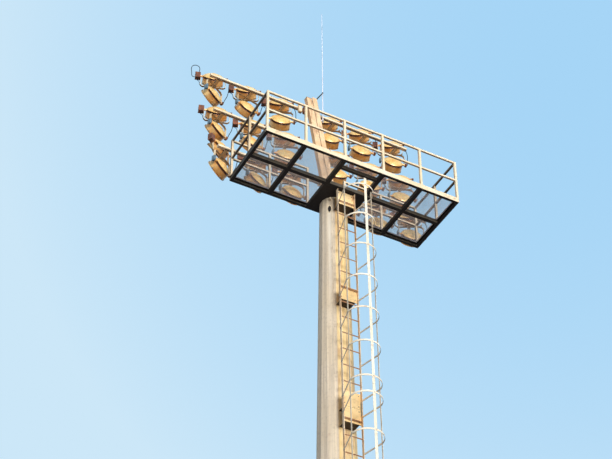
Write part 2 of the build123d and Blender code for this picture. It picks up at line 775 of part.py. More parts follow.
# Lightning rod: tapered spike on two stand-off arms at the head of the tray
with BuildPart() as lightning_rod:
    rod_x = tray_x + TRAY_WIDTH / 2 + ROD_STANDOFF
    rod_foot = SPINE_HEIGHT - ROD_OVERLAP
    lower_arm = rod_foot + ROD_ARM_FOOT
    rod_y = spine_centre(lower_arm + ROD_ARM_PITCH / 2) + tray_offset
    for height, radius in ((rod_foot, ROD_RADIUS), (rod_foot + ROD_HEIGHT, ROD_TIP_RADIUS)):
        with BuildSketch(Plane.XY.offset(PLATFORM_UNDERSIDE + height)):
            with Locations((rod_x, rod_y)):
                RegularPolygon(radius, ROD_SIDES)
    loft(ruled=True)
    arm_end = tray_x + TRAY_WIDTH / 2 + RUNNING_GAP
    for height in (lower_arm, lower_arm + ROD_ARM_PITCH):
        with Locations(((arm_end + rod_x) / 2, rod_y, PLATFORM_UNDERSIDE + height)):
            Box(rod_x - arm_end, ROD_ARM, ROD_ARM)
save(lightning_rod.part, "lightning_rod")
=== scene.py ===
import json
import logging
import math
import random
from dataclasses import dataclass
from enum import Enum
from typing import Callable, Iterable, Sequence

import bpy
from mathutils import Matrix, Vector


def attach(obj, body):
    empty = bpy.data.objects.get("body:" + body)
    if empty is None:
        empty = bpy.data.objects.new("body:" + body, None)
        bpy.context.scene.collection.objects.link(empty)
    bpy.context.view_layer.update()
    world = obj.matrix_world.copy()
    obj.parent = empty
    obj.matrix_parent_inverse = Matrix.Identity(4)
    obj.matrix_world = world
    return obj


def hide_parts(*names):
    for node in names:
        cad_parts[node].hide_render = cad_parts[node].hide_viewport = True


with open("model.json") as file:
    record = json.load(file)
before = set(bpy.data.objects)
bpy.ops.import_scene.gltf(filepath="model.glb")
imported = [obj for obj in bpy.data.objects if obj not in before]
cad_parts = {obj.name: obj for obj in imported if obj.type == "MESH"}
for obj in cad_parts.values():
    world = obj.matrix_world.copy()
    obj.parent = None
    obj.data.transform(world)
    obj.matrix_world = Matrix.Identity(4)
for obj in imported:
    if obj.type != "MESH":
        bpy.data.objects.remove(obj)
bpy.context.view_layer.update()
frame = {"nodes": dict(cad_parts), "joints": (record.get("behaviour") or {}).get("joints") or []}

LOG = logging.getLogger("pylon")
Point = Sequence[float]
Piece = bpy.types.Object
Finish = bpy.types.Material
Socket = bpy.types.NodeSocket
PYLON = "pylon"
FULL_TURN = 2 * math.pi
UP = Vector((0, 0, 1))
RIGHT = Vector((1, 0, 0))
HEIGHT_TO_X = Matrix.Rotation(math.pi / 2, 4, "Y")
END_EASE = 0.3
# Numbers of the Mix node's colour sockets and of its colour output
MIX_COLOURS = (6, 7)
MIX_RESULT = 2


class Slot(Enum):
    """Material slots of the record, passed along with new pieces."""

    CREAM = "cream_paint"
    GOLD = "lamp_gold"
    ZINC = "galvanised_steel"
    BROWN = "brown_enamel"
    RUBBER = "black_rubber"


class Row(Enum):
    """The two rows of lamps on an arm."""

    UPPER = "upper"
    LOWER = "lower"


class Coat(Enum):
    """Finishes of a lamp's housing, by their number on its mesh."""

    GOLD = 0
    MIRROR = 1
    GROOVE = 2
    # the cover's paint is a lighter copy of the lamp gold: painted light on the cover, which faces up to the
    # sun
    COVER = 3
    # painted shade on the cover's rim and the drum's shoulder beside the groove
    EDGE = 4


# Setting out


@dataclass(frozen=True)
class Setout:
    """Setting-out sizes of the pylon in metres, the same as in the part's source."""

    platform_underside: float = 25.4
    mast_base_across: float = 1.33
    mast_top_across: float = 0.6
    mast_sides: int = 16
    mast_joints: tuple[float, ...] = (8.6, 17.0)
    slip_lap: float = 0.5
    flange_thick: float = 0.05
    anchor_circle: float = 1.68
    anchor_count: int = 12
    floor_top: float = 25.52
    floor_thick: float = 0.03
    bay_count: int = 5
    bay_length: float = 0.952
    frame_width: float = 1.764
    centreline: float = -0.54
    channel_flange: float = 0.07
    middle_beam: float = -0.575
    trim_beam: float = -1.14
    head_plate_top: float = 25.43
    spine_lean: float = math.radians(12.7)
    spine_x: float = -0.064
    spine_width: float = 0.145
    spine_depth: float = 0.115
    spine_height: float = 4.3
    spine_foot_offset: float = 0.0675
    tray_x: float = 0.089
    tray_depth: float = 0.11
    tray_top: float = 4.4
    arm_top_height: float = 3.86
    arm_count: int = 3
    arm_pitch: float = 1.44
    arm_length: float = 5.34
    arm_tube: float = 0.07
    arm_seat: float = 0.014
    upper_reach: float = 0.36
    upper_rise: float = 0.36
    lower_drop: float = 0.32
    stirrup_half: float = 0.296
    stirrup_bar: float = 0.008
    outrigger_half: float = 0.018
    ladder_standoff: float = 0.26
    ladder_width: float = 0.43
    post_tube: float = 0.05
    rod_x: float = 0.2645
    rod_clamps: tuple[float, ...] = (3.598, 3.878)

    @property
    def platform_length(self) -> float:
        """Length of the platform along the arms."""
        return self.bay_count * self.bay_length

    @property
    def near_edge(self) -> float:
        """Edge of the platform towards the ladder."""
        return self.centreline - self.frame_width / 2

    @property
    def far_edge(self) -> float:
        """Edge of the platform towards the pitch."""
        return self.centreline + self.frame_width / 2

    @property
    def bay_lines(self) -> list[float]:
        """Middle of each crossbeam between two bays."""
        return [(bay - self.bay_count / 2) * self.bay_length for bay in range(1, self.bay_count)]

    @property
    def stirrup_outer(self) -> float:
        """Distance from a head's middle to the outer face of its stirrup's legs."""
        return self.stirrup_half + self.stirrup_bar

    @property
    def half_flat(self) -> float:
        """Half the angle that one flat of the mast takes."""
        return math.pi / self.mast_sides

    @property
    def slope(self) -> float:
        """Angle of the mast's face to the vertical."""
        return math.atan((self.mast_base_across - self.mast_top_across) / 2 / self.platform_underside)

    def mast_across(self, height: float) -> float:
        """Width of the mast over its flats.

        Args:
            height: Height above the ground.

        Returns:
            The width at that height.
        """
        share = height / self.platform_underside
        return self.mast_base_across + share * (self.mast_top_across - self.mast_base_across)

    def mast_corner(self, height: float, proud: float = 0.0) -> float:
        """Distance from the axis to a corner of the mast, or of a collar proud of its flats."""
        return (self.mast_across(height) / 2 + proud) / math.cos(self.half_flat)

    def mast_face(self, bearing: float, height: float, across: float = 0.0) -> Matrix:
        """Place on a flat of the mast, its Z pointing out and its Y up the flat.

        Args:
            bearing: Compass angle of the flat's middle, from +X towards +Y.
            height: Height above the ground.
            across: Distance to the side of the flat's middle.

        Returns:
            The matrix of that place.
        """
        out = compass(bearing)
        side = UP.cross(out)
        normal = out * math.cos(self.slope) + UP * math.sin(self.slope)
        foot = out * self.mast_across(height) / 2 + side * across + UP * height
        return axes_at(foot, side, normal.cross(side), normal)

    def spine_y(self, height: float) -> float:
        """Middle of the spine at a height over the platform's underside."""
        return self.spine_foot_offset + math.tan(self.spine_lean) * height

    def arm(self, level: int) -> Vector:
        """Middle of one lamp arm.

        Args:
            level: 0 for the top arm, 2 for the bottom one.

        Returns:
            The point on the mast's plane of symmetry.
        """
        height = self.arm_top_height - level * self.arm_pitch
        seat = self.spine_y(height) + self.spine_depth / 2 + self.arm_seat
        out = seat + self.arm_tube / 2 / math.cos(self.spine_lean)
        return Vector((0, out, self.platform_underside + height))

    @property
    def spine_up(self) -> Vector:
        """Direction of the leaning spine."""
        return Vector((0, math.sin(self.spine_lean), math.cos(self.spine_lean)))

    def ladder(self) -> Matrix:
        """Frame of the ladder, its Z along the stringers and its Y towards the mast."""
        foot = Vector((0, -self.mast_base_across / 2 - self.ladder_standoff, 0))
        up = Vector((0, math.sin(self.slope), math.cos(self.slope)))
        return axes_at(foot, RIGHT, up.cross(RIGHT), up)


def compass(bearing: float) -> Vector:
    """Level direction at an angle from +X towards +Y."""
    return Vector((math.cos(bearing), math.sin(bearing), 0))


def axes_at(foot: Vector, x_dir: Vector, y_dir: Vector, z_dir: Vector) -> Matrix:
    """Matrix from an origin and three directions.

    Args:
        foot: The origin.
        x_dir: Direction of local X.
        y_dir: Direction of local Y.
        z_dir: Direction of local Z.

    Returns:
        The placing matrix.
    """
    turn = Matrix((x_dir, y_dir, z_dir)).transposed().to_4x4()
    return Matrix.Translation(foot) @ turn


def stand(foot: Point, normal: Point, turn: float = 0.0) -> Matrix:
    """Matrix that sets a piece's foot on a point, with its height along a normal.

    Args:
        foot: Where the piece stands.
        normal: Direction of its height.
        turn: Turn about that direction.

    Returns:
        The placing matrix.
    """
    lean = Vector(normal).to_track_quat("Z", "Y").to_matrix().to_4x4()
    return Matrix.Translation(Vector(foot)) @ lean @ Matrix.Rotation(turn, 4, "Z")


# Finishes


def linear(code: str) -> tuple[float, float, float, float]:
    """Turn a screen colour code into linear light.

    Args:
        code: Six hexadecimal digits.

    Returns:
        Red, green, blue and full opacity.
    """
    shares = [int(code[place:place + 2], 16) / 255 for place in (0, 2, 4)]
    light = [s / 12.92 if s <= 0.04045 else ((s + 0.055) / 1.055) ** 2.4 for s in shares]
    return light[0], light[1], light[2], 1.0


class Graph:
    """One material or world, and the nodes that are added to it step by step."""

    def __init__(self, name: str, world: bool = False) -> None:
        """Start a material with its principled shader, or a world with its background.

        Args:
            name: Name of the material or world.
            world: Whether it is a world.
        """
        self.owner = (bpy.data.worlds if world else bpy.data.materials).new(name)
        self.owner.use_nodes = True
        self.tree = self.owner.node_tree
        self.shader = self.tree.nodes["Background" if world else "Principled BSDF"]
        self.where = self.node("ShaderNodeTexCoord").outputs["Generated" if world else "Object"]

    def node(self, kind: str, **settings: object) -> bpy.types.Node:
        """Add a node.

        Args:
            kind: Blender's name of the node.
            settings: Properties to set on it.

        Returns:
            The new node.
        """
        made = self.tree.nodes.new(kind)
        for key, value in settings.items():
            setattr(made, key, value)
        return made

    def feed(self, target: Socket, source: object) -> None:
        """Link a socket, or set it where a plain value is given.

        Args:
            target: The socket that is fed.
            source: A socket to link, or a plain value.
        """
        if isinstance(source, Socket):
            self.tree.links.new(source, target)
        else:
            target.default_value = source

    def set(self, **values: object) -> None:
        """Set or link sockets of the shader, spaces written as underscores."""
        for key, value in values.items():
            self.feed(self.shader.inputs[key.replace("_", " ")], value)

    def noise(self, scale: float, detail: float = 3.0, stretch: Point = (1, 1, 1)) -> Socket:
        """Noise over the object's own coordinates.

        Args:
            scale: Cells to a metre.
            detail: Number of finer layers.
            stretch: Scale along each axis.

        Returns:
            The noise as a value.
        """
        mapping = self.node("ShaderNodeMapping")
        mapping.inputs["Scale"].default_value = stretch
        self.feed(mapping.inputs["Vector"], self.where)
        noise = self.node("ShaderNodeTexNoise")
        noise.inputs["Scale"].default_value = scale
        noise.inputs["Detail"].default_value = detail
        self.feed(noise.inputs["Vector"], mapping.outputs["Vector"])
        return noise.outputs["Fac"]

    def band(
        self, value: object, low: float, high: float, bottom: float = 0.0, top: float = 1.0
    ) -> Socket:
        """Spread a value from one range to another, held at both ends.

        Args:
            value: A socket or a number.
            low: Where the first range starts.
            high: Where it ends.
            bottom: What its start becomes.
            top: What its end becomes.

        Returns:
            The new value.
        """
        spread = self.node("ShaderNodeMapRange", clamp=True)
        for key, number in (("From Min", low), ("From Max", high), ("To Min", bottom), ("To Max", top)):
            spread.inputs[key].default_value = number
        self.feed(spread.inputs["Value"], value)
        return spread.outputs["Result"]

    def sum(self, how: str, first: object, second: object) -> Socket:
        """One step of arithmetic on two values.

        Args:
            how: Blender's name of the step, such as MULTIPLY.
            first: A socket or a number.
            second: A socket or a number.

        Returns:
            The result.
        """
        step = self.node("ShaderNodeMath", operation=how)
        self.feed(step.inputs[0], first)
        self.feed(step.inputs[1], second)
        return step.outputs[0]

    def mix(self, share: object, first: object, second: object) -> Socket:
        """Mix two colours.

        Args:
            share: How much of the second there is, a value or a number.
            first: A colour code or a colour socket.
            second: A colour code or a colour socket.

        Returns:
            The mixed colour.
        """
        mixer = self.node("ShaderNodeMix", data_type="RGBA")
        self.feed(mixer.inputs["Factor"], share)
        for key, colour in zip(MIX_COLOURS, (first, second)):
            self.feed(mixer.inputs[key], linear(colour) if isinstance(colour, str) else colour)
        return mixer.outputs[MIX_RESULT]

    def facing(self) -> tuple[Socket, ...]:
        """Split the surface's normal.

        Returns:
            Its components along X, Y and Z.
        """
        parts = self.node("ShaderNodeSeparateXYZ")
        self.feed(parts.inputs[0], self.node("ShaderNodeNewGeometry").outputs["Normal"])
        return tuple(parts.outputs)

    def place(self) -> tuple[Socket, ...]:
        """Split the object coordinates.

        Returns:
            X, Y and Z of a point.
        """
        parts = self.node("ShaderNodeSeparateXYZ")
        self.feed(parts.inputs[0], self.where)
        return tuple(parts.outputs)

    def turned(self, bearing: float) -> tuple[Socket, Socket]:
        """Turn the object coordinates about Z.

        Args:
            bearing: Compass angle from +X towards +Y.

        Returns:
            Distance out along the bearing, and distance aside of it.
        """
        x, y, _ = self.place()
        cosine, sine = math.cos(bearing), math.sin(bearing)
        out = self.sum("ADD", self.sum("MULTIPLY", x, cosine), self.sum("MULTIPLY", y, sine))
        aside = self.sum("SUBTRACT", self.sum("MULTIPLY", x, sine), self.sum("MULTIPLY", y, cosine))
        return out, aside

    def bump(self, height: object, strength: float, distance: float) -> None:
        """Raise the surface by a value.

        Args:
            height: The value, from 0 to 1.
            strength: Share of the bump that shows.
            distance: Height of the bump.
        """
        bump = self.node("ShaderNodeBump")
        bump.inputs["Strength"].default_value = strength
        bump.inputs["Distance"].default_value = distance
        self.feed(bump.inputs["Height"], height)
        self.feed(self.shader.inputs["Normal"], bump.outputs["Normal"])


@dataclass(frozen=True)
class Paint:
    """Painted steel: uneven tone, grime, specks of rust, and painted shade on undersides and shaded sides."""

    name: str
    tone: str
    second: str
    grime: str = "A88E6C"
    # under: colour of the painted shade on faces turned down
    under: str = "1E1A20"
    rust: str = "9A5A30"
    under_shade_share: float = 0.9
    rust_share: float = 0.3
    # share of painted shade on faces turned to -X
    side_shade_share: float = 0.0
    # share and start of the painted shadow on faces turned to -Y behind the near channel
    inner_shadow_share: float = 0.0
    inner_shadow_from: float = -1.33
    streak_share: float = 0.0
    metallic: float = 0.0
    roughness: float = 0.55
    gloss: float = 0.2
    patch_scale: float = 1.3

    def colour(self, graph: Graph) -> Socket:
        """Colour of the paint before any mark of its own place.

        Args:
            graph: The material's nodes.

        Returns:
            The colour.
        """
        patches = graph.band(graph.noise(self.patch_scale, 4), 0.36, 0.64)
        tone = graph.mix(patches, self.tone, self.second)
        dirt = graph.band(graph.noise(17, 6), 0.52, 0.78, 0, 0.45)
        tone = graph.mix(dirt, tone, self.grime)
        if self.streak_share:
            runs = graph.band(graph.noise(1, 4, (16, 16, 0.45)), 0.5, 0.72, 0, self.streak_share)
            tone = graph.mix(runs, tone, self.grime)
        spots = graph.band(graph.noise(6.5, 9), 0.64, 0.7, 0, self.rust_share)
        tone = graph.mix(spots, tone, self.rust)
        # painted shade: faces turned down take the under colour in place of the shade beneath them
        shade = graph.band(graph.facing()[2], -0.25, -0.8, 0, self.under_shade_share)
        # painted shade: faces turned to -X are darkened as a side in shade
        if self.side_shade_share:
            ends = graph.band(graph.facing()[0], -0.5, -0.9, 0, self.side_shade_share)
            shade = graph.sum("MAXIMUM", shade, ends)
        # painted shadow: faces turned to -Y beyond the near channel are darkened as if it shaded them
        if self.inner_shadow_share:
            inner = graph.band(graph.facing()[1], -0.5, -0.9, 0, self.inner_shadow_share)
            behind = graph.band(graph.place()[1], self.inner_shadow_from, self.inner_shadow_from + 0.02)
            shade = graph.sum("MAXIMUM", shade, graph.sum("MULTIPLY", inner, behind))
        return graph.mix(shade, tone, self.under)

    def make(self) -> Finish:
        """Build the material.

        Returns:
            The material.
        """
        graph = Graph(self.name)
        fine = graph.noise(42, 5)
        graph.set(
            Base_Color=self.colour(graph),
            Metallic=self.metallic,
            Roughness=graph.band(fine, 0.3, 0.7, self.roughness - 0.1, self.roughness + 0.14),
            Specular_IOR_Level=self.gloss,
        )
        graph.bump(fine, 0.22, 0.002)
        return graph.owner


@dataclass(frozen=True)
class MastPaint(Paint):
    """Mast paint: runs down the flats, painted golden sunlight on the flats that face the sun, and a pale
    wash under the hand hole.
    """

    # colour of the painted sunlight on the mast
    sunlit_gold: str = "FFDC98"
    stain: str = "B07C4C"
    line: str = "B8A898"
    sun_toward: tuple[float, float] = (0.2, -0.98)
    wash: str = "F6EAD4"
    wash_bearing: float = math.radians(225)
    wash_top: float = 25.0
    wash_foot: float = 22.1
    wash_half: float = 0.036
    ladder_bearing: float = math.radians(247.5)

    def colour(self, graph: Graph) -> Socket:
        """Colour of the mast, with painted golden sunlight on the flats by the ladder that face the sun, and
        a pale wash below the hand hole.

        Args:
            graph: The material's nodes.

        Returns:
            The colour.
        """
        tone = super().colour(graph)
        # painted sunlight: flats turned to the sun on one side of the ladder take a golden lit colour, with
        # runs and blots of stain in it
        east, north = (
            graph.sum("MULTIPLY", part, share) for part, share in zip(graph.facing(), self.sun_toward)
        )
        sunlit_zone = graph.band(graph.sum("ADD", east, north), 0.6, 0.75, 0, 0.95)
        aside = graph.turned(self.ladder_bearing)[1]
        sunlit_zone = graph.sum("MULTIPLY", sunlit_zone, graph.band(aside, -0.01, 0.02, 1, 0))
        runs = graph.band(graph.noise(1, 5, (22, 22, 0.7)), 0.5, 0.7, 0, 0.75)
        blots = graph.band(graph.noise(5, 6, (1, 1, 0.5)), 0.5, 0.68, 0, 0.6)
        runs = graph.sum("MAXIMUM", runs, blots)
        tone = graph.mix(sunlit_zone, tone, graph.mix(runs, self.sunlit_gold, self.stain))
        lines = graph.band(graph.noise(1, 3, (26, 26, 0.05)), 0.42, 0.62, 0, 0.35)
        tone = graph.mix(lines, tone, self.line)
        out, side = graph.turned(self.wash_bearing)
        z = graph.place()[2]
        ragged = graph.sum("MULTIPLY", graph.noise(1, 5, (30, 30, 2.2)), 0.03)
        off = graph.sum("ADD", graph.sum("ABSOLUTE", side, 0.0), ragged)
        line = graph.band(off, self.wash_half, self.wash_half + 0.016, 1, 0)
        line = graph.sum("MULTIPLY", line, graph.band(out, 0.1, 0.2))
        line = graph.sum("MULTIPLY", line, graph.band(z, self.wash_foot, self.wash_top - 0.5, 0, 0.75))
        line = graph.sum("MULTIPLY", line, graph.band(z, self.wash_top - 0.04, self.wash_top, 1, 0))
        return graph.mix(line, tone, self.wash)


@dataclass(frozen=True)
class Zinc:
    """Galvanised steel: crystals of two greys, dull patches, dust, and painted shade on undersides."""

    name: str
    light: str
    dark: str
    metallic: float = 0.35
    roughness: float = 0.5
    under_shade_share: float = 0.45

    def make(self) -> Finish:
        """Build the material.

        Returns:
            The material.
        """
        graph = Graph(self.name)
        cells = graph.node("ShaderNodeTexVoronoi")
        cells.inputs["Scale"].default_value = 70
        graph.feed(cells.inputs["Vector"], graph.where)
        spread = graph.node("ShaderNodeSeparateColor")
        graph.feed(spread.inputs[0], cells.outputs["Color"])
        tone = graph.mix(spread.outputs[0], self.light, self.dark)
        dust = graph.band(graph.noise(3.2, 6), 0.5, 0.75, 0, 0.5)
        tone = graph.mix(dust, tone, "8C7C64")
        # painted shade: faces turned down are mixed towards dark grey
        shade = graph.band(graph.facing()[2], -0.3, -0.85, 0, self.under_shade_share)
        graph.set(
            Base_Color=graph.mix(shade, tone, "3C3838"),
            Metallic=self.metallic,
            Roughness=graph.band(spread.outputs[1], 0, 1, self.roughness - 0.1, self.roughness + 0.15),
        )
        graph.bump(graph.noise(60, 4), 0.15, 0.001)
        return graph.owner


@dataclass(frozen=True)
class Plain:
    """Small moulded or enamelled goods: two near tones, dust and a fine grain."""

    name: str
    tone: str
    second: str
    dust: str
    roughness: float
    metallic: float = 0.0
    grain: float = 90.0

    def make(self) -> Finish:
        """Build the material.

        Returns:
            The material.
        """
        graph = Graph(self.name)
        tone = graph.mix(graph.band(graph.noise(9, 4), 0.35, 0.65), self.tone, self.second)
        tone = graph.mix(graph.band(graph.noise(24, 6), 0.55, 0.8, 0, 0.4), tone, self.dust)
        fine = graph.noise(self.grain, 3)
        graph.set(
            Base_Color=tone,
            Metallic=self.metallic,
            Roughness=graph.band(fine, 0.3, 0.7, self.roughness - 0.08, self.roughness + 0.08),
        )
        graph.bump(fine, 0.2, 0.0008)
        return graph.owner


@dataclass(frozen=True)
class FrontGlass:
    """Toughened front glass, faintly dusty."""

    name: str = "front_glass"

    def make(self) -> Finish:
        """Build the material.

        Returns:
            The material.
        """
        graph = Graph(self.name)
        dust = graph.noise(14, 6)
        graph.set(
            Base_Color=graph.mix(graph.band(dust, 0.45, 0.75, 0, 0.4), "E8F0EE", "B8A88C"),
            Roughness=graph.band(dust, 0.4, 0.75, 0.03, 0.3),
            IOR=1.5,
            Transmission_Weight=0.75,
        )
        return graph.owner


class Rack:
    """All finishes, each built once."""

    def __init__(self) -> None:
        """Build every material."""
        # In each paint below, the under colour and its share are painted shade on undersides; the end and
        # inner shares are painted shade on faces turned to -X and painted shadow behind the near channel.
        self.frame = Paint(
            "frame_cream", "F8E6C8", "EFD8B0", under="120E14", under_shade_share=0.98, side_shade_share=0.95,
            inner_shadow_share=0.8,
        ).make()
        self.cream = Paint("cream_steel", "F8E6C6", "EFD6AC", under="8A6244", under_shade_share=0.7).make()
        self.outer = Paint(
            "outer_rail_cream", "F2DDBB", "E4C9A0", under="2C2024", under_shade_share=0.92, side_shade_share=0.75,
        ).make()
        self.ladder = Paint(
            "ladder_cream", "F8E0BE", "E4B888", under="8E5030", under_shade_share=0.8, rust_share=0.9,
        ).make()
        self.cage = Paint("cage_cream", "FBF0DA", "EFDDBE", under="5C5A64", under_shade_share=0.85).make()
        self.bracket = Paint(
            "bracket_cream", "FFE0A8", "F0C888", under="1C1418", under_shade_share=0.95, rust_share=0.5,
        ).make()
        self.mast = MastPaint(
            "mast_cream", "F0DFC4", "E4D0B0", grime="B09C84", rust_share=0.15, streak_share=0.5,
            under_shade_share=0.3, patch_scale=0.7,
        ).make()
        self.spine = Paint(
            "spine_cream", "FFDDB0", "E8BE90", grime="A87C58", rust_share=0.3, streak_share=0.7,
            under_shade_share=0.4,
        ).make()
        self.gold = Paint(
            "lamp_gold_metal", "FFD48C", "EC9E48", grime="9C5A26", under="A05C1E", rust="84461E",
            under_shade_share=0.45, rust_share=0.5, metallic=0.25, roughness=0.32, gloss=0.6, patch_scale=6.0,
        ).make()
        # painted light: a lighter, yellower copy of the lamp gold for the sunlit cover
        self.cover = Paint(
            "lamp_cover_gold", "FFDC90", "F8C06A", grime="C88440", under="C4843A", rust="985826",
            under_shade_share=0.45, rust_share=0.4, metallic=0.2, roughness=0.32, gloss=0.6, patch_scale=6.0,
        ).make()
        # painted shade: brown band on the housing at both sides of the groove
        self.edge = Paint(
            "lamp_rim_shade_brown", "A8622E", "84481E", grime="6A3A1A", under="5A3014", under_shade_share=0.4,
            rust_share=0.5, metallic=0.15, roughness=0.4, gloss=0.4, patch_scale=6.0,
        ).make()
        self.groove = Plain("seal_bronze", "2E1A10", "1C100A", "4A2E1C", 0.6).make()
        self.mirror = Plain("reflector_metal", "D8D2C6", "C2BAA8", "9A8C74", 0.22, 0.9).make()
        self.box = Plain("terminal_box_brown", "8A4C2A", "502A18", "B08052", 0.4).make()
        self.rod = Zinc("rod_aluminium", "FAF6FA", "EAE6F0", metallic=0.0).make()
        self.clip = Plain("clip_blue_grey", "6E8490", "56707E", "8C8A7C", 0.5).make()
        self.rubber = Plain("cable_rubber", "141216", "0C0A0E", "2A2420", 0.66).make()
        self.porcelain = Plain("lamp_holder_white", "E8E4DA", "D6D0C2", "A89C88", 0.4).make()
        self.glass = FrontGlass().make()
        self.bar = Paint(
            "stirrup_cream", "F6E0BA", "E2C79A", grime="A4885F", under="8A5C3C", under_shade_share=0.7,
            rust_share=0.35, roughness=0.5,
        ).make()
        self.zinc = Zinc("galvanised", "B4AC9C", "8E887A").make()
        self.mesh = Zinc(
            "floor_mesh_zinc", "E6E0E0", "D0CACE", metallic=0.0, roughness=0.6, under_shade_share=0.0,
        ).make()
        self.bolt = Zinc("bolt_zinc", "B8AE98", "8C8474").make()
        self.dark = Plain("hole_shadow", "17131A", "0E0C10", "2A2420", 0.8).make()


# Tools


def dress(material: Finish, *nodes: str) -> None:
    """Give CAD nodes a material.

    Args:
        material: The finish.
        nodes: Names of the nodes.
    """
    for node in nodes:
        slots = frame["nodes"][node].material_slots
        if not slots:
            frame["nodes"][node].data.materials.append(material)
        for slot in slots:
            slot.material = material


def seat(piece: Piece, slot: Slot, body: str = PYLON) -> Piece:
    """Let a finished piece ride on its body.

    Args:
        piece: The piece, already in its place.
        slot: The record's material slot; not used.
        body: The CAD body that it moves with.

    Returns:
        The same piece.
    """
    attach(piece, body)
    LOG.info("piece %s: %d faces on %s", piece.name, len(piece.data.polygons), body)
    return piece


class Bench:
    """Hand operations that every maker shares."""

    @staticmethod
    def only(piece: Piece) -> None:
        """Select one object and nothing else.

        Args:
            piece: What stays selected and active.
        """
        bpy.ops.object.select_all(action="DESELECT")
        piece.select_set(True)
        bpy.context.view_layer.objects.active = piece

    @staticmethod
    def settle(name: str, material: Finish) -> Piece:
        """Name the active object, put its place into its mesh, and dress it.

        Args:
            name: Its name.
            material: Its finish.

        Returns:
            The object.
        """
        piece = bpy.context.object
        Bench.only(piece)
        bpy.ops.object.transform_apply(location=True, rotation=True, scale=True)
        piece.name = name
        piece.data.name = name
        piece.data.materials.append(material)
        return piece

    @staticmethod
    def edit(piece: Piece, action: str = "SELECT") -> None:
        """Open a piece for editing.

        Args:
            piece: The piece.
            action: SELECT or DESELECT, for all of it.
        """
        Bench.only(piece)
        bpy.ops.object.mode_set(mode="EDIT")
        bpy.ops.mesh.select_all(action=action)

    @staticmethod
    def close() -> None:
        """Leave edit mode."""
        bpy.ops.object.mode_set(mode="OBJECT")

    @staticmethod
    def block(name: str, low: Point, high: Point, bevel: float, material: Finish) -> Piece:
        """A block with eased edges.

        Args:
            name: Name of the piece.
            low: Its lowest corner.
            high: Its highest corner.
            bevel: Width of the eased edges.
            material: Its finish.

        Returns:
            The block, its place in its mesh.
        """
        bpy.ops.object.select_all(action="DESELECT")
        first, last = Vector(low), Vector(high)
        bpy.ops.mesh.primitive_cube_add(size=1, location=(first + last) / 2, scale=last - first)
        piece = Bench.settle(name, material)
        Bench.edit(piece)
        bpy.ops.mesh.bevel(offset=bevel, segments=1, affect="EDGES")
        Bench.close()
        return piece

    @staticmethod
    def turned(
        name: str,
        profile: Sequence[tuple[float, float]],
        sides: int,
        material: Finish,
        smooth: float = 40.0,
    ) -> Piece:
        """A closed form turned round Z.

        Args:
            name: Name of the piece.
            profile: Pairs of height and radius from one end to the other.
            sides: Number of sides.
            material: Its finish.
            smooth: Largest angle in degrees that is shaded smooth.

        Returns:
            The turned piece.
        """
        bpy.ops.object.select_all(action="DESELECT")
        height, radius = profile[0]
        bpy.ops.mesh.primitive_circle_add(
            vertices=sides, radius=radius, fill_type="NGON", location=(0, 0, height)
        )
        piece = Bench.settle(name, material)
        Bench.edit(piece)
        for next_height, next_radius in profile[1:]:
            rise = (0, 0, next_height - height)
            bpy.ops.mesh.extrude_region_move(TRANSFORM_OT_translate={"value": rise})
            if next_radius != radius:
                share = next_radius / radius
                bpy.ops.transform.resize(value=(share, share, 1), center_override=(0, 0, 0))
            height, radius = next_height, next_radius
        bpy.ops.mesh.select_all(action="SELECT")
        bpy.ops.mesh.normals_make_consistent(inside=False)
        Bench.close()
        bpy.ops.object.shade_smooth_by_angle(angle=math.radians(smooth))
        return piece

    @staticmethod
    def rod(name: str, start: Point, end: Point, radius: float, sides: int, material: Finish) -> Piece:
        """A round or many-sided bar with eased ends between two points.

        Args:
            name: Name of the piece.
            start: Middle of its first end.
            end: Middle of its last end.
            radius: Its radius.
            sides: Number of sides.
            material: Its finish.

        Returns:
            The bar.
        """
        run = Vector(end) - Vector(start)
        ease = radius * END_EASE
        profile = (
            (0, radius - ease), (ease, radius), (run.length - ease, radius), (run.length, radius - ease),
        )
        piece = Bench.turned(name, profile, sides, material)
        piece.data.transform(stand(start, run))
        return piece

    @staticmethod
    def tube(name: str, points: Sequence[Point], radius: float, material: Finish) -> Piece:
        """A clipped-down cable: a smooth round run through guiding points, as a mesh.

        Args:
            name: Name of the piece.
            points: Control points of its line.
            radius: Its radius.
            material: Its finish.

        Returns:
            The cable.
        """
        piece = Bench.line(name, points, radius)
        Bench.only(piece)
        bpy.ops.object.convert(target="MESH")
        piece = bpy.context.object
        piece.data.materials.clear()
        piece.data.materials.append(material)
        return piece

    @staticmethod
    def line(name: str, points: Sequence[Point], radius: float) -> Piece:
        """A round curve of one open spline over its control points.

        Args:
            name: Name of the piece.
            points: Control points of its line.
            radius: Its radius.

        Returns:
            The curve.
        """
        curve = bpy.data.curves.new(name, "CURVE")
        curve.dimensions = "3D"
        curve.bevel_depth = radius
        curve.bevel_resolution = 2
        curve.resolution_u = 4
        curve.use_fill_caps = True
        spline = curve.splines.new("NURBS")
        spline.points.add(len(points) - 1)
        for knot, point in zip(spline.points, points):
            knot.co = (*point, 1)
        spline.order_u = 3
        spline.use_endpoint_u = True
        piece = bpy.data.objects.new(name, curve)
        bpy.context.scene.collection.objects.link(piece)
        return piece

    @staticmethod
    def bolt(name: str, across: float, material: Finish) -> Piece:
        """A hexagon head on its washer, standing on the XY plane.

        Args:
            name: Name of the piece.
            across: Width of the head.
            material: Its finish.

        Returns:
            The head and washer.
        """
        rim = ((0, across * 0.72), (across * 0.1, across * 0.7))
        body = ((across * 0.1, across * 0.57), (across * 0.55, across * 0.57), (across * 0.66, across * 0.45))
        washer = Bench.turned(name + "_washer", rim, 10, material)
        head = Bench.turned(name + "_head", body, 6, material, smooth=20)
        return Bench.joined(name, [washer, head])

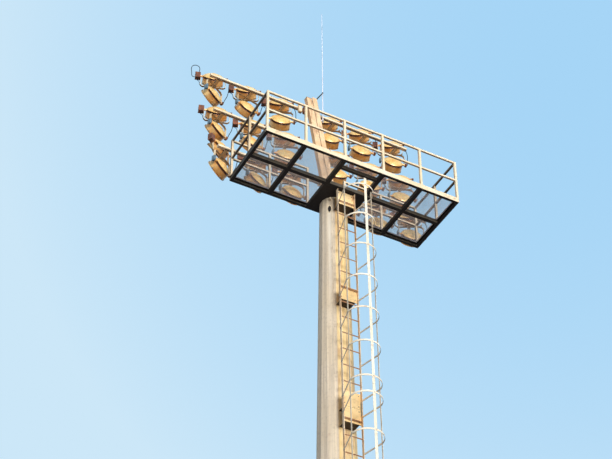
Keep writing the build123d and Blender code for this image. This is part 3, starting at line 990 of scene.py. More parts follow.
    @staticmethod
    def joined(name: str, pieces: Sequence[Piece]) -> Piece:
        """Join pieces to one object.

        Args:
            name: Name of the whole.
            pieces: What is joined; the first one stays.

        Returns:
            The joined object.
        """
        Bench.only(pieces[0])
        for piece in pieces:
            piece.select_set(True)
        bpy.ops.object.join()
        whole = bpy.context.object
        whole.name = name
        whole.data.name = name
        return whole

    @staticmethod
    def copies(pattern: Piece, places: Iterable[Matrix]) -> list[Piece]:
        """Copy a pattern piece, each copy with its own mesh set in its place.

        Args:
            pattern: The piece that is copied and then removed.
            places: Where the copies go.

        Returns:
            The copies.
        """
        made = []
        for place in places:
            twin = bpy.data.objects.new(pattern.name, pattern.data.copy())
            bpy.context.scene.collection.objects.link(twin)
            twin.data.transform(place)
            made.append(twin)
        bpy.data.objects.remove(pattern)
        return made

    @staticmethod
    def spread(name: str, pattern: Piece, places: Iterable[Matrix]) -> Piece:
        """Set a pattern piece at many places, joined to one object."""
        return Bench.joined(name, Bench.copies(pattern, places))

    @staticmethod
    def array(piece: Piece, step: Point, count: int) -> None:
        """Repeat a piece in a row, as one mesh.

        Args:
            piece: The first of the row.
            step: From one to the next.
            count: How many there are in all.
        """
        Bench.only(piece)
        repeat = piece.modifiers.new("row", "ARRAY")
        repeat.use_relative_offset = False
        repeat.use_constant_offset = True
        repeat.constant_offset_displace = step
        repeat.count = count
        bpy.ops.object.modifier_apply(modifier=repeat.name)

    @staticmethod
    def paint(piece: Piece, materials: Sequence[Finish], rule: Callable[[Vector], int]) -> None:
        """Give each face its material.

        Args:
            piece: The piece.
            materials: Its finishes.
            rule: Finds the number of a face's finish from its middle.
        """
        piece.data.materials.clear()
        for material in materials:
            piece.data.materials.append(material)
        for face in piece.data.polygons:
            face.material_index = rule(face.center)


# Foundation


@dataclass
class Foot:
    """Base flange, the anchor nuts on it, and the service door's fittings."""

    sizes: Setout
    rack: Rack
    stud_radius: float = 0.018
    stud_rise: float = 0.075
    door_middle: float = 1.55

    def anchors(self) -> None:
        """Nut, washer and stud end over each anchor hole."""
        nut = Bench.bolt("anchor_nut", 0.055, self.rack.bolt)
        stud = Bench.turned(
            "anchor_stud",
            ((0, self.stud_radius), (self.stud_rise - 0.004, self.stud_radius), (self.stud_rise, 0.014)),
            12,
            self.rack.zinc,
        )
        plate = Bench.block("anchor_plate", (-0.05, -0.05, 0), (0.05, 0.05, 0.01), 0.002, self.rack.zinc)
        nut.data.transform(Matrix.Translation((0, 0, 0.01)))
        whole = Bench.joined("anchor_set", [plate, nut, stud])
        places = []
        for place in range(self.sizes.anchor_count):
            turn = FULL_TURN * (place + 0.5) / self.sizes.anchor_count
            reach = self.sizes.anchor_circle / 2
            places.append(stand(compass(turn) * reach + UP * self.sizes.flange_thick, UP, turn))
        seat(Bench.spread("anchor_nuts", whole, places), Slot.ZINC)

    def door(self) -> None:
        """Raised panel, hinges and lock on the door cover."""
        face = self.sizes.mast_face(math.radians(270), self.door_middle)
        panel = Bench.block(
            "door_panel", (-0.088, -0.42, 0.011), (0.088, 0.42, 0.0155), 0.0035, self.rack.mast
        )
        pieces = [panel]
        for rise in (-0.31, 0.31):
            foot, top = (-0.116, rise - 0.05, 0.008), (-0.116, rise + 0.05, 0.008)
            barrel = Bench.rod("door_hinge", foot, top, 0.009, 12, self.rack.zinc)
            leaf = Bench.block(
                "door_leaf", (-0.112, rise - 0.04, 0.011), (-0.07, rise + 0.04, 0.017), 0.001, self.rack.zinc
            )
            pieces += [barrel, leaf]
        for rise in (-0.36, 0, 0.36):
            lock = Bench.turned(
                "door_lock",
                ((0.012, 0.02), (0.018, 0.02), (0.02, 0.013), (0.026, 0.012), (0.028, 0.008)),
                14,
                self.rack.bolt,
            )
            lock.data.transform(Matrix.Translation((0.097, rise, 0)))
            pieces.append(lock)
        whole = Bench.joined("door_fittings", pieces)
        whole.data.transform(face)
        seat(whole, Slot.CREAM)

    def weld(self) -> None:
        """Weld bead round the foot of the mast."""
        reach = self.sizes.mast_corner(self.sizes.flange_thick)
        bead = Bench.turned(
            "foot_weld",
            ((0.05, reach + 0.014), (0.056, reach + 0.011), (0.062, reach + 0.005), (0.066, reach)),
            self.sizes.mast_sides,
            self.rack.zinc,
        )
        bead.data.transform(Matrix.Rotation(self.sizes.half_flat, 4, "Z"))
        seat(bead, Slot.ZINC)

    def build(self) -> None:
        """Dress the foot and add its pieces."""
        dress(self.rack.mast, "base_flange", "door_cover")
        self.anchors()
        self.door()
        self.weld()


# Mast


@dataclass
class Mast:
    """The tapered mast, its slip joints, welded seam, hand hole and lug."""

    sizes: Setout
    rack: Rack
    hole_bearing: float = math.radians(225)
    hole_height: float = 25.06
    lug_height: float = 25.31
    seam_bearing: float = math.radians(236.25)
    slip_step: float = 0.007

    def slip_joints(self) -> None:
        """Rounded weld lip along the edge of each slip joint."""
        pieces = []
        for foot in self.sizes.mast_joints:
            edge = foot + self.sizes.slip_lap
            reach = self.sizes.mast_corner(edge, self.slip_step)
            profile = (
                (edge - 0.02, reach + 0.001), (edge - 0.012, reach + 0.004), (edge - 0.004, reach + 0.003),
                (edge, reach - 0.004),
            )
            lip = Bench.turned("slip_lip", profile, self.sizes.mast_sides, self.rack.mast)
            lip.data.transform(Matrix.Rotation(self.sizes.half_flat, 4, "Z"))
            pieces.append(lip)
        seat(Bench.joined("slip_joint_lips", pieces), Slot.CREAM)

    def seam(self) -> None:
        """Long welded seam up one corner of the mast, length by length."""
        out = compass(self.seam_bearing)
        ends = (0.07, *self.sizes.mast_joints, self.sizes.platform_underside)
        pieces = []
        for place, (foot, top) in enumerate(zip(ends, ends[1:])):
            foot += self.sizes.slip_lap + 0.01 if place else 0
            points = []
            for height in (foot, (foot + top) / 2, top - 0.01):
                points.append(out * (self.sizes.mast_corner(height) - 0.001) + UP * height)
            pieces.append(Bench.tube("mast_seam", points, 0.004, self.rack.mast))
        seat(Bench.joined("mast_seams", pieces), Slot.CREAM)

    def hand_hole(self) -> None:
        """Oval hand hole: a raised rim round a flat dark disc that paints the shade inside the hole."""
        face = self.sizes.mast_face(self.hole_bearing, self.hole_height)
        rim = Bench.turned(
            "hand_hole_rim",
            ((-0.002, 0.05), (0.004, 0.05), (0.006, 0.047), (0.006, 0.041), (0.002, 0.039)),
            24,
            self.rack.cream,
        )
        # painted shade: a thin dark disc stands for the shade in the hole
        well = Bench.turned("hand_hole_well", ((0.0005, 0.0385), (0.0025, 0.0385)), 24, self.rack.dark)
        whole = Bench.joined("hand_hole", [rim, well])
        Bench.edit(whole)
        bpy.ops.transform.resize(value=(1.0, 2.3, 1.0), center_override=(0, 0, 0))
        Bench.close()
        whole.data.transform(face)
        seat(whole, Slot.CREAM)

    def lug(self) -> None:
        """Small lifting lug beside the hand hole, under the platform."""
        face = self.sizes.mast_face(self.hole_bearing, self.lug_height, 0.03)
        lug = Bench.turned(
            "lifting_lug",
            ((-0.011, 0.036), (-0.009, 0.04), (0.009, 0.04), (0.011, 0.036)),
            16,
            self.rack.cream,
        )
        lug.data.transform(Matrix.Translation((0, 0.02, 0.026)) @ HEIGHT_TO_X)
        foot = Bench.block("lug_foot", (-0.03, -0.03, 0), (0.03, 0.07, 0.006), 0.002, self.rack.cream)
        whole = Bench.joined("mast_lug", [lug, foot])
        whole.data.transform(face)
        seat(whole, Slot.CREAM)

    def build(self) -> None:
        """Dress the mast and add its pieces."""
        dress(self.rack.mast, "mast_lower", "mast_middle", "mast_upper")
        self.slip_joints()
        self.seam()
        self.hand_hole()
        self.lug()


# Platform


@dataclass
class Platform:
    """Service platform: mesh floor, frame bolts, and the feet of the posts."""

    sizes: Setout
    rack: Rack
    wire: float = 0.004
    pitch: float = 0.02
    panel_gap: float = 0.003
    border: float = 0.006
    web: float = 0.008
    rail_levels: tuple[float, float] = (0.56, 1.1)

    def panel(self, left: float, right: float, near: float, far: float) -> list[Piece]:
        """Wires both ways inside a border of flat bar.

        Args:
            left: Left edge of the panel.
            right: Right edge.
            near: Edge towards the ladder.
            far: Edge towards the pitch.

        Returns:
            The pieces of the panel.
        """
        top = self.sizes.floor_top
        low = top - self.sizes.floor_thick
        material = self.rack.mesh
        low_wire, high_wire = top - 2 * self.wire, top - self.wire
        along = Bench.block(
            "mesh_wire", (left, near, low_wire), (left + self.wire, far, high_wire), 0.001, material
        )
        Bench.array(along, (self.pitch, 0, 0), int((right - left - self.wire) / self.pitch) + 1)
        across = Bench.block(
            "mesh_cross", (left, near, high_wire), (right, near + self.wire, top), 0.001, material
        )
        Bench.array(across, (0, self.pitch, 0), int((far - near - self.wire) / self.pitch) + 1)
        pieces = [along, across]
        for start in (left, right - self.border):
            high = (start + self.border, far, top)
            pieces.append(Bench.block("panel_side", (start, near, low), high, 0.001, material))
        for start in (near, far - self.border):
            high = (right, start + self.border, top)
            pieces.append(Bench.block("panel_end", (left, start, low), high, 0.001, material))
        return pieces

    def floor(self) -> None:
        """All floor panels, in place of the coarse grating."""
        sizes = self.sizes
        half = sizes.platform_length / 2
        near = sizes.near_edge + sizes.channel_flange + self.panel_gap
        far = sizes.far_edge - sizes.channel_flange - self.panel_gap
        pieces = []
        for bay in range(sizes.bay_count):
            left = max((bay - sizes.bay_count / 2) * sizes.bay_length, sizes.channel_flange - half)
            right = min((bay + 1 - sizes.bay_count / 2) * sizes.bay_length, half - sizes.channel_flange)
            left, right = left + self.panel_gap, right - self.panel_gap
            if bay == sizes.bay_count // 2:
                pieces += self.panel(left, right, near, sizes.trim_beam)
                continue
            pieces += self.panel(left, right, near, sizes.middle_beam - self.panel_gap)
            pieces += self.panel(left, right, sizes.middle_beam + self.panel_gap, far)
        mesh = Bench.joined("floor_mesh", pieces)
        seat(mesh, Slot.ZINC)
        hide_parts("floor_grating")

    def post_feet(self) -> None:
        """Foot plate and two bolts under each post, in line with its rail."""
        sizes = self.sizes
        plate = Bench.block("foot_plate", (-0.08, -0.0245, 0), (0.08, 0.0245, 0.008), 0.0015, self.rack.cream)
        bolts = Bench.bolt("foot_bolt", 0.016, self.rack.bolt)
        pair = Bench.copies(bolts, [Matrix.Translation((x, 0, 0.008)) for x in (-0.06, 0.06)])
        whole = Bench.joined("post_foot", [plate, *pair])
        half = sizes.platform_length / 2 - sizes.post_tube / 2
        rails = (sizes.near_edge + sizes.post_tube / 2, sizes.far_edge - sizes.post_tube / 2)
        places = [stand((x, y, sizes.floor_top), UP) for y in rails for x in sizes.bay_lines]
        for side in (-1, 1):
            middle = Vector((side * half, sizes.centreline, sizes.floor_top))
            places.append(Matrix.Translation(middle) @ Matrix.Rotation(math.pi / 2, 4, "Z"))
        seat(Bench.spread("post_feet", whole, places), Slot.CREAM)

    def frame_bolts(self) -> None:
        """Bolts through the edge channels into the crossbeams."""
        sizes = self.sizes
        bolt = Bench.bolt("frame_bolt", 0.02, self.rack.bolt)
        near, far = sizes.near_edge + self.web, sizes.far_edge - self.web
        places = []
        for x in sizes.bay_lines:
            for shift in (-0.025, 0.025):
                for rise in (0.035, 0.085):
                    z = sizes.platform_underside + rise
                    places.append(stand((x + shift, near, z), (0, 1, 0)))
                    places.append(stand((x + shift, far, z), (0, -1, 0)))
        seat(Bench.spread("frame_bolts", bolt, places), Slot.ZINC)

    def rail_joints(self) -> None:
        """Small weld fillets where rails meet posts on the near side."""
        sizes = self.sizes
        fillet = Bench.turned(
            "rail_fillet", ((-0.003, 0.027), (0, 0.031), (0.003, 0.027)), 4, self.rack.cream, smooth=10
        )
        fillet.data.transform(HEIGHT_TO_X @ Matrix.Rotation(math.pi / 4, 4, "Z"))
        near = sizes.near_edge + sizes.post_tube / 2
        places = []
        for x in sizes.bay_lines:
            for level in self.rail_levels:
                z = sizes.floor_top + level - 0.021
                places += [Matrix.Translation((x + side * 0.0275, near, z)) for side in (-1, 1)]
        seat(Bench.spread("rail_fillets", fillet, places), Slot.CREAM)

    def build(self) -> None:
        """Dress the platform and add its pieces."""
        dress(self.rack.frame, "platform_frame", "head_plate")
        dress(self.rack.cream, "railing_near")
        dress(self.rack.outer, "railing_outer")
        self.floor()
        self.post_feet()
        self.frame_bolts()
        self.rail_joints()


# Headframe


@dataclass
class Headframe:
    """Leaning spine, cable tray and lamp arms, with their clamps and cables."""

    sizes: Setout
    rack: Rack
    cable_radius: float = 0.011
    cable_count: int = 4
    cable_pitch: float = 0.024
    strip_count: int = 5
    strip_pitch: float = 0.8
    saddle_count: int = 11
    saddle_pitch: float = 0.48

    def spine_ends(self) -> None:
        """Cap plate over the spine, and bolts in the plate round its foot."""
        sizes = self.sizes
        top = sizes.platform_underside + sizes.spine_height
        middle = sizes.spine_y(sizes.spine_height)
        half_x, half_y = sizes.spine_width / 2 + 0.008, sizes.spine_depth / 2 + 0.01
        cap = Bench.block(
            "spine_cap",
            (sizes.spine_x - half_x, middle - half_y, top),
            (sizes.spine_x + half_x, middle + half_y, top + 0.01),
            0.003,
            self.rack.cream,
        )
        bolt = Bench.bolt("spine_bolt", 0.03, self.rack.bolt)
        places = []
        foot_y = sizes.spine_y(0.03)
        for x in (-0.1, 0, 0.1):
            places.append(Matrix.Translation((sizes.spine_x + x, foot_y + 0.1, sizes.head_plate_top)))
        for y in (-0.06, 0.04):
            places.append(Matrix.Translation((sizes.spine_x - 0.12, foot_y + y, sizes.head_plate_top)))
        bolts = Bench.spread("spine_bolts", bolt, places)
        seat(Bench.joined("spine_ends", [cap, bolts]), Slot.CREAM)

    def arm_clamps(self) -> None:
        """Clamp plate and four bolts on the pitch side of each arm at the spine."""
        sizes = self.sizes
        plate = Bench.block("clamp_plate", (-0.1, -0.075, 0), (0.1, 0.075, 0.01), 0.002, self.rack.cream)
        bolt = Bench.bolt("clamp_bolt", 0.024, self.rack.bolt)
        four = Bench.copies(
            bolt, [Matrix.Translation((x, y, 0.01)) for x in (-0.075, 0.075) for y in (-0.055, 0.055)]
        )
        whole = Bench.joined("arm_clamp", [plate, *four])
        places = []
        normal = sizes.spine_up.cross(RIGHT)
        for level in range(sizes.arm_count):
            foot = sizes.arm(level) + RIGHT * sizes.spine_x + normal * sizes.arm_tube / 2
            places.append(axes_at(foot, RIGHT, normal.cross(RIGHT), normal))
        seat(Bench.spread("arm_clamps", whole, places), Slot.CREAM)

    def arm_caps(self) -> None:
        """Closing plate on both ends of each arm."""
        sizes = self.sizes
        cap = Bench.block("arm_cap", (-0.037, -0.037, 0), (0.037, 0.037, 0.005), 0.0015, self.rack.cream)
        places = []
        for level in range(sizes.arm_count):
            for side in (-1, 1):
                out = RIGHT * side
                foot = sizes.arm(level) + out * sizes.arm_length / 2
                places.append(axes_at(foot, sizes.spine_up.cross(out), sizes.spine_up, out))
        seat(Bench.spread("arm_caps", cap, places), Slot.CREAM)

    def tray_cables(self) -> None:
        """Supply cables laid in the tray, held by strips."""
        sizes = self.sizes
        draw = random.Random(4)
        pieces = []
        near = -sizes.spine_depth / 2 + 0.008 + self.cable_radius
        for place in range(self.cable_count):
            x = sizes.tray_x - 0.045 + place * self.cable_pitch
            points = []
            for step in range(10):
                height = 0.04 + step * (sizes.tray_top - 0.1) / 9
                wander = draw.uniform(-0.002, 0.002)
                points.append(
                    (x + wander, sizes.spine_y(height) + near + 0.001, sizes.platform_underside + height)
                )
            pieces.append(Bench.tube("tray_cable", points, self.cable_radius, self.rack.rubber))
        cables = Bench.joined("tray_cables", pieces)
        seat(cables, Slot.RUBBER)
        strips = []
        for place in range(self.strip_count):
            height = 0.55 + place * self.strip_pitch
            y = sizes.spine_y(height) + near + self.cable_radius + 0.001
            low = (sizes.tray_x - 0.06, y, sizes.platform_underside + height)
            high = (sizes.tray_x + 0.056, y + 0.004, sizes.platform_underside + height + 0.03)
            strips.append(Bench.block("tray_strip", low, high, 0.001, self.rack.zinc))
        seat(Bench.joined("tray_strips", strips), Slot.ZINC)

    def arm_leads(self) -> None:
        """Lamp cable under each arm, held by saddles."""
        sizes = self.sizes
        pieces, saddles = [], []
        down = -sizes.spine_up
        for level in range(sizes.arm_count):
            foot = sizes.arm(level) + down * (sizes.arm_tube / 2 + 0.009)
            points = [foot + RIGHT * x for x in (-2.5, -1.6, -0.8, 0, 0.8, 1.6, 2.5)]
            pieces.append(Bench.tube("arm_lead", points, 0.008, self.rack.rubber))
            for place in range(self.saddle_count):
                x = (place - self.saddle_count // 2) * self.saddle_pitch
                saddle = Bench.block(
                    "arm_saddle", (x, -0.018, -0.001), (x + 0.02, 0.018, 0.02), 0.003, self.rack.zinc
                )
                base = sizes.arm(level) + down * sizes.arm_tube / 2
                saddle.data.transform(axes_at(base, RIGHT, down.cross(RIGHT), down))
                saddles.append(saddle)
        seat(Bench.joined("arm_leads", pieces), Slot.RUBBER)
        seat(Bench.joined("arm_saddles", saddles), Slot.ZINC)

    def junctions(self) -> None:
        """Pale junction box and the dark one beside it, hung on the top arm by the spine."""
        sizes = self.sizes
        near = sizes.arm(0) + Vector((0, -sizes.arm_tube / 2 - 0.014, 0))
        for name, left, right, low, high, deep, finish in (
            ("junction_pale", -0.375, -0.285, -0.2, 0.045, 0.07, self.rack.cream),
            ("junction_dark", -0.255, -0.165, -0.19, 0.0, 0.08, self.rack.box),
        ):
            body = Bench.block(
                name, near + Vector((left, -deep, low)), near + Vector((right, 0, high)), 0.01, finish
            )
            lid = Bench.block(
                "lid",
                near + Vector((left + 0.008, -deep - 0.008, low + 0.012)),
                near + Vector((right - 0.008, -deep, high - 0.012)),
                0.003,
                finish,
            )
            gland = near + Vector(((left + right) / 2, -deep / 2, low))
            pieces = [body, lid]
            pieces.append(
                Bench.rod("gland", gland, gland - UP * 0.03, 0.013, 10, self.rack.rubber)
            )
            seat(Bench.joined(name, pieces), Slot.CREAM if finish is self.rack.cream else Slot.BROWN)

    def build(self) -> None:
        """Dress the headframe and add its pieces."""
        dress(self.rack.spine, "spine", "cable_tray")
        dress(self.rack.cream, "arm_top", "arm_middle", "arm_bottom")
        self.spine_ends()
        self.arm_clamps()
        self.arm_caps()
        self.tray_cables()
        self.arm_leads()
        self.junctions()


# Floodlights


@dataclass
class FloodlightBank:
    """The 36 floodlight heads in their stirrups, with boxes, clips and knobs."""

    sizes: Setout
    rack: Rack
    sides: int = 36
    upper_dip: float = math.radians(31)
    lower_dip: float = math.radians(23)
    box_width: float = 0.11
    box_height: float = 0.17
    box_reach: float = 0.12
    bowl_foot: float = 0.0095
    bowl_reach: float = 0.2338
    seal: tuple[float, float, float] = (0.151, 0.1595, 0.2525)
    groove_ends: tuple[float, float] = (-0.013, 0.016)
    groove_reach: float = 0.239
    rim_shade_half: float = 0.0285
    bowl: tuple[tuple[float, float], ...] = (
        (0.010, 0.020), (0.014, 0.070), (0.030, 0.120), (0.060, 0.168), (0.100, 0.205), (0.156, 0.232),
    )
    rim: tuple[tuple[float, float], ...] = (
        (0.166, 0.235), (0.174, 0.239), (0.176, 0.243), (0.176, 0.254), (0.173, 0.258), (0.163, 0.259),
        (0.160, 0.255), (0.158, 0.247), (0.152, 0.247), (0.150, 0.254),
    )
    drum: tuple[tuple[float, float], ...] = (
        (0.110, 0.2525), (0.060, 0.250), (0.028, 0.248), (0.021, 0.249), (0.016, 0.245), (0.014, 0.219),
        (-0.011, 0.217),
    )
    dome: tuple[tuple[float, float], ...] = (
        (-0.013, 0.240), (-0.022, 0.243), (-0.028, 0.238), (-0.040, 0.224), (-0.054, 0.202),
        (-0.068, 0.172), (-0.079, 0.138), (-0.087, 0.104), (-0.091, 0.074), (-0.092, 0.064),
        (-0.101, 0.062), (-0.103, 0.056),
    )

    def coat(self, middle: Vector) -> int:
        """Number of the finish at a place on the housing.

        Args:
            middle: Middle of a face.

        Returns:
            The number of a Coat.
        """
        reach = math.hypot(middle.x, middle.y)
        seal_low, seal_high, seal_reach = self.seal
        cover_edge, drum_edge = self.groove_ends
        if middle.z > self.bowl_foot and reach < self.bowl_reach:
            return Coat.MIRROR.value
        if seal_low < middle.z < seal_high and reach < seal_reach:
            return Coat.GROOVE.value
        if cover_edge < middle.z < drum_edge and 0.1 < reach < self.groove_reach:
            return Coat.GROOVE.value
        # painted shade: the housing close to the groove takes the dark brown band
        if abs(middle.z) < self.rim_shade_half and reach > self.groove_reach:
            return Coat.EDGE.value
        return (Coat.COVER if middle.z < cover_edge else Coat.GOLD).value

    def shell(self) -> Piece:
        """Turned housing: reflector bowl, rim, drum, groove and domed cover.

        Returns:
            The housing, with its aim along Z.
        """
        profile = (*self.bowl, *self.rim, *self.drum, *self.dome)
        rack = self.rack
        shell = Bench.turned("head_shell", profile, self.sides, rack.gold)
        Bench.paint(shell, (rack.gold, rack.mirror, rack.groove, rack.cover, rack.edge), self.coat)
        return shell

    def inside(self) -> list[Piece]:
        """Front glass, and the lamp in its holder inside the bowl.

        Returns:
            The pieces.
        """
        glass = Bench.turned(
            "head_glass",
            ((0.1575, 0.2315), (0.1605, 0.2315), (0.164, 0.20), (0.1675, 0.14), (0.169, 0.06)),
            self.sides,
            self.rack.glass,
        )
        lamp = Bench.turned(
            "head_lamp",
            ((-0.075, 0.010), (-0.062, 0.020), (-0.05, 0.024), (0.05, 0.024), (0.062, 0.020), (0.075, 0.010)),
            12,
            self.rack.porcelain,
        )
        lamp.data.transform(Matrix.Translation((0, 0, 0.085)) @ HEIGHT_TO_X)
        holder = Bench.turned(
            "head_holder", ((0.008, 0.03), (0.04, 0.028), (0.062, 0.018)), 12, self.rack.porcelain
        )
        return [glass, lamp, holder]

    def fittings(self) -> list[Piece]:
        """Pivot bosses, rim latches, cover screws and the hanging eye.

        Returns:
            The pieces.
        """
        pieces = []
        for side in (-1, 1):
            boss = Bench.turned(
                "head_boss",
                ((0.222, 0.038), (0.25, 0.038), (0.254, 0.034), (0.256, 0.0235), (0.2955, 0.0235)),
                16,
                self.rack.gold,
            )
            boss.data.transform(Matrix.Rotation(side * math.pi / 2, 4, "Y"))
            pieces.append(boss)
        latch = Bench.block(
            "head_latch", (0.249, -0.014, 0.128), (0.2655, 0.014, 0.1745), 0.003, self.rack.zinc
        )
        pieces += Bench.copies(latch, [Matrix.Rotation(math.radians(30 + 60 * k), 4, "Z") for k in range(6)])
        screw = Bench.bolt("head_screw", 0.012, self.rack.bolt)
        places = []
        for step in range(8):
            out = compass(math.radians(22.5 + 45 * step))
            places.append(stand(out * 0.213 - UP * 0.0475, out * 0.52 - UP * 0.85))
        pieces += Bench.copies(screw, places)
        eye = Bench.block("head_eye", (-0.006, -0.249, 0.07), (0.006, -0.265, 0.10), 0.002, self.rack.gold)
        pieces.append(eye)
        return pieces

    def place(self, joint: dict) -> Matrix:
        """Frame of one head, X to its right pivot and Z along its aim.

        Args:
            joint: The tilt joint of the head.

        Returns:
            The placing matrix.
        """
        side = Vector(joint["axis"]).normalized()
        level_aim = UP.cross(side)
        dip = self.upper_dip if Row.UPPER.value in joint["name"] else self.lower_dip
        aim = level_aim * math.cos(dip) - UP * math.sin(dip)
        return axes_at(Vector(joint["pos_m"]), side, aim.cross(side), aim)

    def heads(self) -> None:
        """One detailed head on each tilt joint, in place of its plain solid."""
        pattern = Bench.joined("head", [self.shell(), *self.inside(), *self.fittings()])
        heads = Bench.copies(pattern, [self.place(joint) for joint in frame["joints"]])
        for joint, head in zip(frame["joints"], heads):
            key = joint["name"].removeprefix("tilt_")
            head.name = f"lamp_head_{key}"
            seat(head, Slot.GOLD, joint["child"])
            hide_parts(f"floodlight_{key}")

    def level_frames(self, row: Row) -> list[Matrix]:
        """Frames of one row's stirrups: X to the right pivot and Z up.

        Args:
            row: Upper or lower row.

        Returns:
            One frame for each lamp of the row.
        """
        frames = []
        for joint in frame["joints"]:
            if row.value in joint["name"]:
                side = Vector(joint["axis"]).normalized()
                frames.append(axes_at(Vector(joint["pos_m"]), side, UP.cross(side), UP))
        return frames

    def pivots(self) -> None:
        """Dark hand knobs on the right pivots: slim above the arm, large below it."""
        outer = self.sizes.stirrup_outer
        slim = (
            (0, 0.03), (0.004, 0.03), (0.006, 0.02), (0.02, 0.02), (0.024, 0.03), (0.05, 0.028),
            (0.056, 0.018),
        )
        large = (
            (0, 0.036), (0.005, 0.036), (0.008, 0.024), (0.014, 0.024), (0.018, 0.048), (0.022, 0.052),
            (0.046, 0.05), (0.052, 0.042), (0.055, 0.03),
        )
        for row, profile in ((Row.UPPER, slim), (Row.LOWER, large)):
            knob = Bench.turned(f"{row.value}_knob", profile, 18, self.rack.box)
            knob.data.transform(Matrix.Translation((outer, 0, 0)) @ HEIGHT_TO_X)
            seat(Bench.spread(f"pivot_knobs_{row.value}", knob, self.level_frames(row)), Slot.BROWN)

    def clips(self) -> None:
        """Blue-grey cable clip on the left leg of each lower stirrup."""
        outer = self.sizes.stirrup_outer
        shell = Bench.block(
            "clip_body", (-outer - 0.04, -0.05, -0.075), (-outer, 0.05, 0.075), 0.01, self.rack.clip
        )
        lid = Bench.block(
            "clip_lid",
            (-outer - 0.046, -0.036, -0.055),
            (-outer - 0.039, 0.036, 0.055),
            0.003,
            self.rack.clip,
        )
        x = -outer - 0.02
        gland = Bench.rod("clip_gland", (x, 0, -0.1), (x, 0, -0.07), 0.012, 10, self.rack.rubber)
        whole = Bench.joined("cable_clip", [shell, lid, gland])
        seat(Bench.spread("cable_clips", whole, self.level_frames(Row.LOWER)), Slot.BROWN)

    def box_lids(self) -> None:
        """Lid, screws and glands of the terminal boxes."""
        outer = self.sizes.stirrup_outer
        face = outer + self.box_reach
        half_y, half_z = self.box_width / 2, self.box_height / 2
        lid = Bench.block(
            "lid", (-face - 0.008, -half_y - 0.003, -half_z - 0.003), (-face, half_y + 0.003, half_z + 0.003),
            0.003, self.rack.box,
        )
        screw = Bench.bolt("lid_screw", 0.01, self.rack.bolt)
        corners = [
            stand((-face - 0.008, y, z), (-1, 0, 0)) for y in (-0.045, 0.045) for z in (-0.074, 0.074)
        ]
        pieces = [lid, *Bench.copies(screw, corners)]
        x = -outer - 0.07
        for y in (-0.028, 0.028):
            low, high = (x, y, -half_z - 0.028), (x, y, -half_z + 0.002)
            pieces.append(Bench.rod("box_gland", low, high, 0.013, 10, self.rack.rubber))
        whole = Bench.joined("box_lid", pieces)
        seat(Bench.spread("box_lids", whole, self.level_frames(Row.UPPER)), Slot.BROWN)

    def stirrup_bolts(self) -> None:
        """Two bolts through the foot of each stirrup."""
        bolt = Bench.bolt("foot_bolt", 0.024, self.rack.bolt)
        places = []
        seat_z = self.sizes.stirrup_bar + self.sizes.outrigger_half
        for row, rise, up in (
            (Row.UPPER, seat_z - self.sizes.upper_rise, 1), (Row.LOWER, self.sizes.lower_drop - seat_z, -1)
        ):
            for place in self.level_frames(row):
                for x in (-0.02, 0.02):
                    places.append(place @ stand((x, 0, rise), (0, 0, up)))
        seat(Bench.spread("stirrup_bolts", bolt, places), Slot.ZINC)

    def lamp_leads(self) -> None:
        """Lead from the arm along the outrigger and the stirrup to each box."""
        sizes = self.sizes
        outer = sizes.stirrup_outer
        pieces = []
        for joint, place in zip(
            [j for j in frame["joints"] if Row.UPPER.value in j["name"]], self.level_frames(Row.UPPER)
        ):
            pivot = Vector(joint["pos_m"])
            back = pivot + Vector((-0.044, -sizes.upper_reach + 0.05, -sizes.upper_rise))
            mid = pivot + Vector((-0.044, -0.12, -sizes.upper_rise))
            local = (
                (-0.09, -0.02, -sizes.upper_rise - 0.002),
                (-0.22, -0.012, -sizes.upper_rise + 0.008),
                (-outer - 0.012, -0.006, -sizes.upper_rise + 0.05),
                (-outer - 0.012, 0, -0.25),
                (-outer - 0.03, 0, -0.17),
                (-outer - 0.068, 0.026, -0.13),
                (-outer - 0.07, 0.028, -0.1),
            )
            points = [back, mid, *[place @ Vector(point) for point in local]]
            pieces.append(Bench.tube("lamp_lead", points, 0.006, self.rack.rubber))
        seat(Bench.joined("lamp_leads", pieces), Slot.RUBBER)

    def lower_leads(self) -> None:
        """Lead that droops from the arm to the knob of each lower lamp."""
        end = self.sizes.stirrup_outer + 0.05
        rise, reach = self.sizes.lower_drop - self.sizes.arm_tube / 2, 0.25
        local = (
            (0.24, -reach, rise), (0.27, -reach + 0.02, rise - 0.02), (0.34, -0.15, 0.17),
            (end, -0.07, 0.1), (end + 0.03, -0.01, 0.05), (end + 0.024, 0, 0.005), (end, 0, 0),
        )
        pieces = []
        for place in self.level_frames(Row.LOWER):
            points = [place @ Vector(point) for point in local]
            pieces.append(Bench.tube("lower_lead", points, 0.008, self.rack.rubber))
        seat(Bench.joined("lower_leads", pieces), Slot.RUBBER)

    def loop(self) -> None:
        """Service loop of cable on the first box of the top arm."""
        first = [j for j in frame["joints"] if j["name"] == "tilt_top_upper_1"][0]
        side = Vector(first["axis"]).normalized()
        outer = self.sizes.stirrup_outer
        start = Vector(first["pos_m"]) - side * outer + UP * self.box_height / 2
        route = (
            (-0.035, 0.0003), (-0.033, 0.075), (-0.02, 0.165), (-0.045, 0.245), (-0.125, 0.285),
            (-0.21, 0.245), (-0.232, 0.14), (-0.216, 0.04), (-0.212, -0.06), (-0.195, -0.138),
            (-0.1203, -0.135),
        )
        points = [start + side * across + UP * rise for across, rise in route]
        loop = Bench.line("service_loop_cable", points, 0.008)
        loop.data.materials.append(self.rack.rubber)
        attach(loop, PYLON)
        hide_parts("service_loop")

    def build(self) -> None:
        """Dress the stirrups and boxes, and add the heads and fittings."""
        dress(self.rack.bar, "stirrups")
        dress(self.rack.box, "terminal_boxes")
        self.loop()
        self.heads()
        self.pivots()
        self.clips()
        self.box_lids()
        self.stirrup_bolts()
        self.lamp_leads()
        self.lower_leads()


# Ladder


